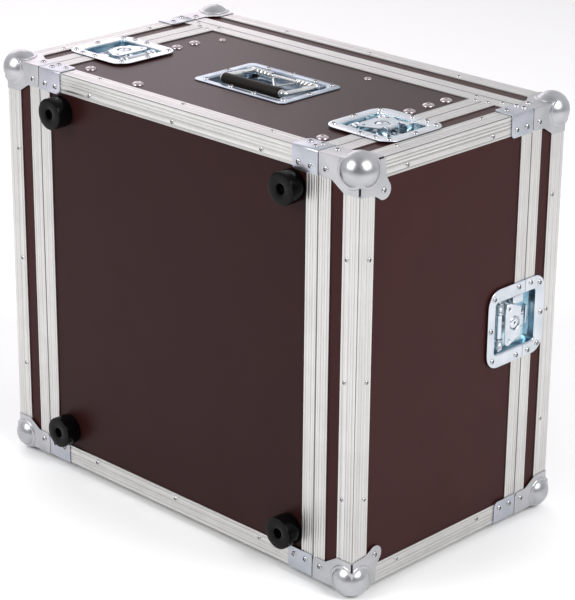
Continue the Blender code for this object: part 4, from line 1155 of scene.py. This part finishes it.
drum = turned_mesh("drum", DRUM, 64)
fixing = joined("fixing", [turned_mesh("washer", WASHER, 32),
                           turned_mesh("screw", SCREW, 32, hollow=(0, 1))])
for side, z, inwards, end, _, inward, seam in QUARTERS:
    point = Vector((seam, 0, z)) + inward * FOOT_FROM_SEAM + inwards * FOOT_FROM_SIDE
    place = placed(point, X, -Y)
    piece(f"{end}_{side}_rubber_drum", moved(drum, place), [foot_rubber], "case_body",
          [f"{end}_foot_{side}"])
    # painted shade: the screw's socket gets the near-black hole colour
    piece(f"{end}_{side}_foot_screw", moved(fixing, place), [zinc, painted_hole_shade], "case_body")
print("four feet with washer and screw")

# %% [markdown]
# ** Rivets and bolts** are the same small head many times over, so a Geometry Nodes tree puts
# them in place: it takes a cloud of points that each know which way they face, sets a head on
# every one, turns it by a seeded random angle, gives it its metal, and gives its hollows painted
# shade, a near-black colour for the shadow in them. The tree's inputs are the head, its radius
# and height, its metal, the painted hole shade and the seed. The result is made a plain mesh,
# one for each body.

# %% The fastener tree
INPUTS = {"Head": "Object", "Head Radius": "Float", "Head Height": "Float",
          "Metal": "Material", "Hole Shade": "Material", "Seed": "Int"}


def make_fastener_tree():
    tree = bpy.data.node_groups.new("fasteners", "GeometryNodeTree")
    for name, kind in {"Geometry": "Geometry", **INPUTS}.items():
        tree.interface.new_socket(name, in_out="INPUT", socket_type=f"NodeSocket{kind}")
    tree.interface.new_socket("Geometry", in_out="OUTPUT", socket_type="NodeSocketGeometry")
    given = add(tree, "NodeGroupInput").outputs
    head = add(tree, "GeometryNodeObjectInfo", {"Object": given["Head"], "As Instance": True})
    facing = add(tree, "GeometryNodeInputNamedAttribute", {"Name": "facing"},
                 data_type="FLOAT_VECTOR")
    upright = add(tree, "FunctionNodeAlignRotationToVector", {"Vector": facing}, axis="Z")
    chance = add(tree, "FunctionNodeRandomValue", {"Seed": given["Seed"]}, data_type="FLOAT")
    angle = add(tree, "ShaderNodeMath", {0: chance.outputs["Value"], 1: 2 * math.pi},
                operation="MULTIPLY")
    spin = add(tree, "FunctionNodeAxisAngleToRotation", {"Axis": (0, 0, 1), "Angle": angle})
    turn = add(tree, "FunctionNodeRotateRotation", {0: upright, 1: spin}, rotation_space="LOCAL")
    size = add(tree, "ShaderNodeCombineXYZ", {
        0: given["Head Radius"], 1: given["Head Radius"], 2: given["Head Height"]})
    heads = add(tree, "GeometryNodeInstanceOnPoints", {
        "Points": given["Geometry"], "Instance": head.outputs["Geometry"],
        "Rotation": turn, "Scale": size})
    real = add(tree, "GeometryNodeRealizeInstances", {0: heads})
    metal = add(tree, "GeometryNodeSetMaterial", {"Geometry": real, "Material": given["Metal"]})
    # painted shade: the hollow faces of every head get the near-black hole colour
    hollow = add(tree, "GeometryNodeInputNamedAttribute", {"Name": "hollow"}, data_type="BOOLEAN")
    dark = add(tree, "GeometryNodeSetMaterial", {
        "Geometry": metal, "Selection": hollow, "Material": given["Hole Shade"]})
    add(tree, "NodeGroupOutput", {0: dark})
    return tree


fastener_tree = make_fastener_tree()
print("tree with", len(fastener_tree.nodes), "nodes")

# %% [markdown]
# Two heads, at unit radius and height. A blind rivet is a dome with a ring of shadow round
# the snapped-off mandrel; a rail bolt is a wide mushroom head with a small socket.

# %% Heads
RIVET = [(0, 0.8), (0.24, 0.7), (0.26, -0.1), (0.56, -0.1), (0.6, 0.95), (0.7, 1.0),
         (0.88, 0.72), (0.98, 0.35), (1.0, -0.2), (0, -0.2)]
BOLT = [(0, 0.45), (0.16, 0.45), (0.2, 0.95), (0.3, 1.0), (0.55, 0.93), (0.8, 0.68),
        (0.95, 0.34), (1.0, 0.08), (1.0, -0.1), (0, -0.1)]
rivet_head = linked("rivet_head", turned_mesh("rivet_head", RIVET, 16, hollow=(1, 2, 3)))
bolt_head = linked("bolt_head", turned_mesh("bolt_head", BOLT, 24, hollow=(0, 1)))


def fasteners(name, head, sites, size, metal, body, seed):
    """One piece of fasteners of a radius and height in millimetres; sites are case points
    with the way they face."""
    cloud = bpy.data.meshes.new(name)
    cloud.from_pydata([case(*point) for point, _ in sites], [], [])
    facing = cloud.attributes.new("facing", "FLOAT_VECTOR", "POINT")
    for item, (_, normal) in zip(facing.data, sites):
        item.vector = normal
    guide = linked(name, cloud)
    modifier = guide.modifiers.new("fasteners", "NODES")
    modifier.node_group = fastener_tree
    values = dict(zip(INPUTS, (head, size[0] * MM, size[1] * MM, metal, painted_hole_shade, seed)))
    for item in fastener_tree.interface.items_tree:
        if item.in_out == "INPUT" and item.name in values:
            modifier[item.identifier] = values[item.name]
    mesh = evaluated(guide)
    return piece(name, mesh, list(mesh.materials), body)


# %% [markdown]
# The rivets stand where the maker drills them: every 150 mm along the angles, 18 mm in from
# the edge on both legs; in every arm and ear of the corners and brackets; in a ring round
# each latch and handle. Patterns are written once and set on every like site.

# %% Rivet patterns
RIVETED = ("case_body", "front_lid", "rear_lid", "top_lid")
EDGE_IN = 18.0
ALONG_X, ALONG_Y, ALONG_Z = (157.0, 305.5, 454.0), (78.0, 227.0), (117.0, 265.0, 414.0)
SHEET_TOP = SHEET + SEAM_HALF
ARM_RIVET = (51, 17.5)
FACE_RIVETS = ((11.5, 18.5), (30.5, 18.5))
BODY_SIDE_RIVETS = ((30.0, 18.0), (14.0, 9.5), (13.0, 20.7))
LID_SIDE_RIVETS = ((6.5, 9.0), (6.5, 20.0), (29.0, 17.0))
BODY_SEAM_RIVETS, LID_SEAM_RIVETS = ((18.5, 7.0), (9.5, 19.5)), ((-7.5, 17.0), (-21.5, 6.5))
DISH_RING = [(-12.0, 44.6), (-12.0, -44.6), (-58.0, 40.0), (-58.0, -40.0), (-62.7, 0.0)]
KEEPER_RING = [(10.5, 44.5), (10.5, -44.5), (28.0, 40.0), (28.0, -40.0), (32.5, 0.0)]
HANDLE_RING = [(-63.0, -42.4), (-18.0, -44.5), (22.0, -44.5), (67.0, -40.0), (72.0, 0.0),
               (64.0, 47.5), (38.5, 46.0), (-4.0, 49.0), (-43.0, 45.5), (-72.0, 4.0)]


def both_legs(point, first, second):
    """A rivet on each leg of an angle that runs through a point of the edge."""
    return [(Vector(point) + first * EDGE_IN, -second), (Vector(point) + second * EDGE_IN, -first)]


def profile_rivets():
    """Rivets of the outer angles, and where two closing profiles meet, by body."""
    found = {body: [] for body in RIVETED}
    for z, inwards in SIDES.values():
        for x in ALONG_X:
            found["case_body"] += both_legs((x, 0, z), Y, inwards)
            found["top_lid"] += both_legs((x, HEIGHT, z), -Y, inwards)
        for end, (x, inward, _) in ENDS.items():
            for y in ALONG_Y:
                found[f"{end}_lid"] += both_legs((x, y, z), inward, inwards)
    for end, (x, inward, _) in ENDS.items():
        for z in ALONG_Z:
            found[f"{end}_lid"] += both_legs((x, 0, z), Y, inward)
            found["top_lid"] += both_legs((x, HEIGHT, z), -Y, inward)
    for _, z, inwards, end, _, inward, seam in QUARTERS:
        for body, pattern in (("case_body", BODY_SEAM_RIVETS), (f"{end}_lid", LID_SEAM_RIVETS)):
            for along, below in pattern:
                point = Vector((seam, TOP_SEAM - below, z)) + inward * along
                found[body].append((point, -inwards))
    return found


def fitting_rivets():
    """Rivets of corners, brackets, latches and handles, by body."""
    found = {body: [] for body in RIVETED}
    reach, aside = ARM_RIVET
    for _, body, point, arm, second, third in corner_sites():
        for flank, other in ((second, third), (third, second)):
            found[body].append((point + arm * reach + flank * aside - other * SHEET, -other))
        found[body].append((point + (second + third) * EAR - arm * SHEET, -arm))
    for _, body, point, along, second, third in bracket_sites():
        side = BODY_SIDE_RIVETS if body == "case_body" else LID_SIDE_RIVETS
        for flank, other, pattern in ((second, third, side), (third, second, FACE_RIVETS)):
            for reach, aside in pattern:
                place = point + along * reach + flank * aside - other * SHEET_TOP
                found[body].append((place, -other))
    for _, point, along, normal, host, other in LATCH_SITES:
        across = normal.cross(along)
        for body, ring in ((host, DISH_RING), (other, KEEPER_RING)):
            for u, v in ring:
                found[body].append((point + along * u + across * v + normal * PLATE_TOP, normal))
    for level, inwards in SIDES.values():
        for u, v in HANDLE_RING:
            point = Vector((HANDLE_X + u, HANDLE_Y + v, level)) - inwards * DISH_TOP
            found["case_body"].append((point, -inwards))
    return found


# %% Set the rivets
for what, found, size, slot, seed in (
        ("profile", profile_rivets(), (3.1, 1.1), "aluminium_profile", 3),
        ("fitting", fitting_rivets(), (3.8, 1.4), "zinc_steel", 5)):
    for body, sites in found.items():
        fasteners(f"{body}_{what}_rivets", rivet_head, sites, size, rivet_metal, body, seed)
    print(sum(map(len, found.values())), what, "rivets")

# %% [markdown]
# The rails inside are held by wide bolts through the side panels: pairs near each end of the
# upright rails, and smaller ones along the top rails.

# %% Rail bolts
PANEL_DEEP = 1.8
WIDE_BOLTS = [(110.0, 44.0), (201.0, 40.5), (110.0, 191.0), (110.0, 222.0),
              (508.0, 44.0), (508.0, 192.0), (507.0, 227.0), (508.0, 258.0)]
SMALL_BOLTS = [(124.0, 259.0), (379.5, 260.0)]

for name, places, size, seed in (("rail_bolts", WIDE_BOLTS, (7.6, 2.9), 7),
                                 ("top_rail_bolts", SMALL_BOLTS, (5.0, 1.9), 8)):
    sites = [(Vector((x, y, z)) + inwards * PANEL_DEEP, -inwards)
             for z, inwards in SIDES.values() for x, y in places]
    fasteners(name, bolt_head, sites, size, nickel, "case_body", seed)
    print(len(sites), name)
for head in (rivet_head, bolt_head):
    bpy.data.objects.remove(head, do_unlink=True)

# %% [markdown]
# **Studio.** A plain pale floor and soft light. The room is white behind the case and darker
# where the camera stands, with two soft boxes in front and a faint one behind: the metal
# gathers light from all round, while the film panels stay dark, as they mirror little of it.

# %% Floor, world and lights
FLOOR_SIZE, FLOOR_GAP = 14.0, 0.0005
ROOM_BRIGHT, ROOM_DARK = 0.92, 0.26
AIM = Vector((0, 0, 0.2))


def make_floor():
    def build(bm):
        bmesh.ops.create_grid(bm, x_segments=1, y_segments=1, size=FLOOR_SIZE / 2)
        bmesh.ops.translate(bm, vec=(0, 0, cad_bounds[0].z - FLOOR_GAP), verts=bm.verts)

    mesh = mesh_from("floor", build, outward=False)
    mesh.materials.append(new_material("pale_floor", "#fafafa", 0.0, 0.7)[0])
    linked("floor", mesh)


def make_world():
    world = bpy.data.worlds.new("studio")
    bpy.context.scene.world = world
    world.use_nodes = True
    tree = world.node_tree
    place = add(tree, "ShaderNodeTexCoord").outputs["Generated"]
    back = camera_turn(CAMERA_AZIMUTH, 0, 0).col[2].to_3d()
    facing = add(tree, "ShaderNodeVectorMath", {0: place, 1: back}, operation="DOT_PRODUCT")
    glow = add(tree, "ShaderNodeMapRange", {
        "Value": facing.outputs["Value"], "From Min": -0.6, "From Max": 0.8,
        "To Min": ROOM_BRIGHT, "To Max": ROOM_DARK}, interpolation_type="SMOOTHSTEP")
    background = tree.nodes["Background"]
    give(background.inputs["Strength"], glow)
    give(background.inputs["Color"], linear("#fdfdff"))


def soft_box(name, place, size, power, colour="#ffffff"):
    light = bpy.data.lights.new(name, "AREA")
    light.color = linear(colour)[:3]
    light.shape = "RECTANGLE"
    light.size, light.size_y = size
    light.energy = power
    lamp = linked(name, light)
    lamp.location = place
    lamp.rotation_euler = (AIM - Vector(place)).to_track_quat("-Z", "Y").to_euler()


make_floor()
make_world()
soft_box("left_box", (-0.65, -2.55, 2.1), (1.8, 1.7), 66)
soft_box("right_box", (2.7, 0.0, 2.3), (1.8, 1.7), 80)
soft_box("back_box", (-2.5, 1.3, 1.7), (2.0, 1.6), 13, "#faeaf4")
bpy.context.scene.view_settings.view_transform = "Standard"
print("studio ready")
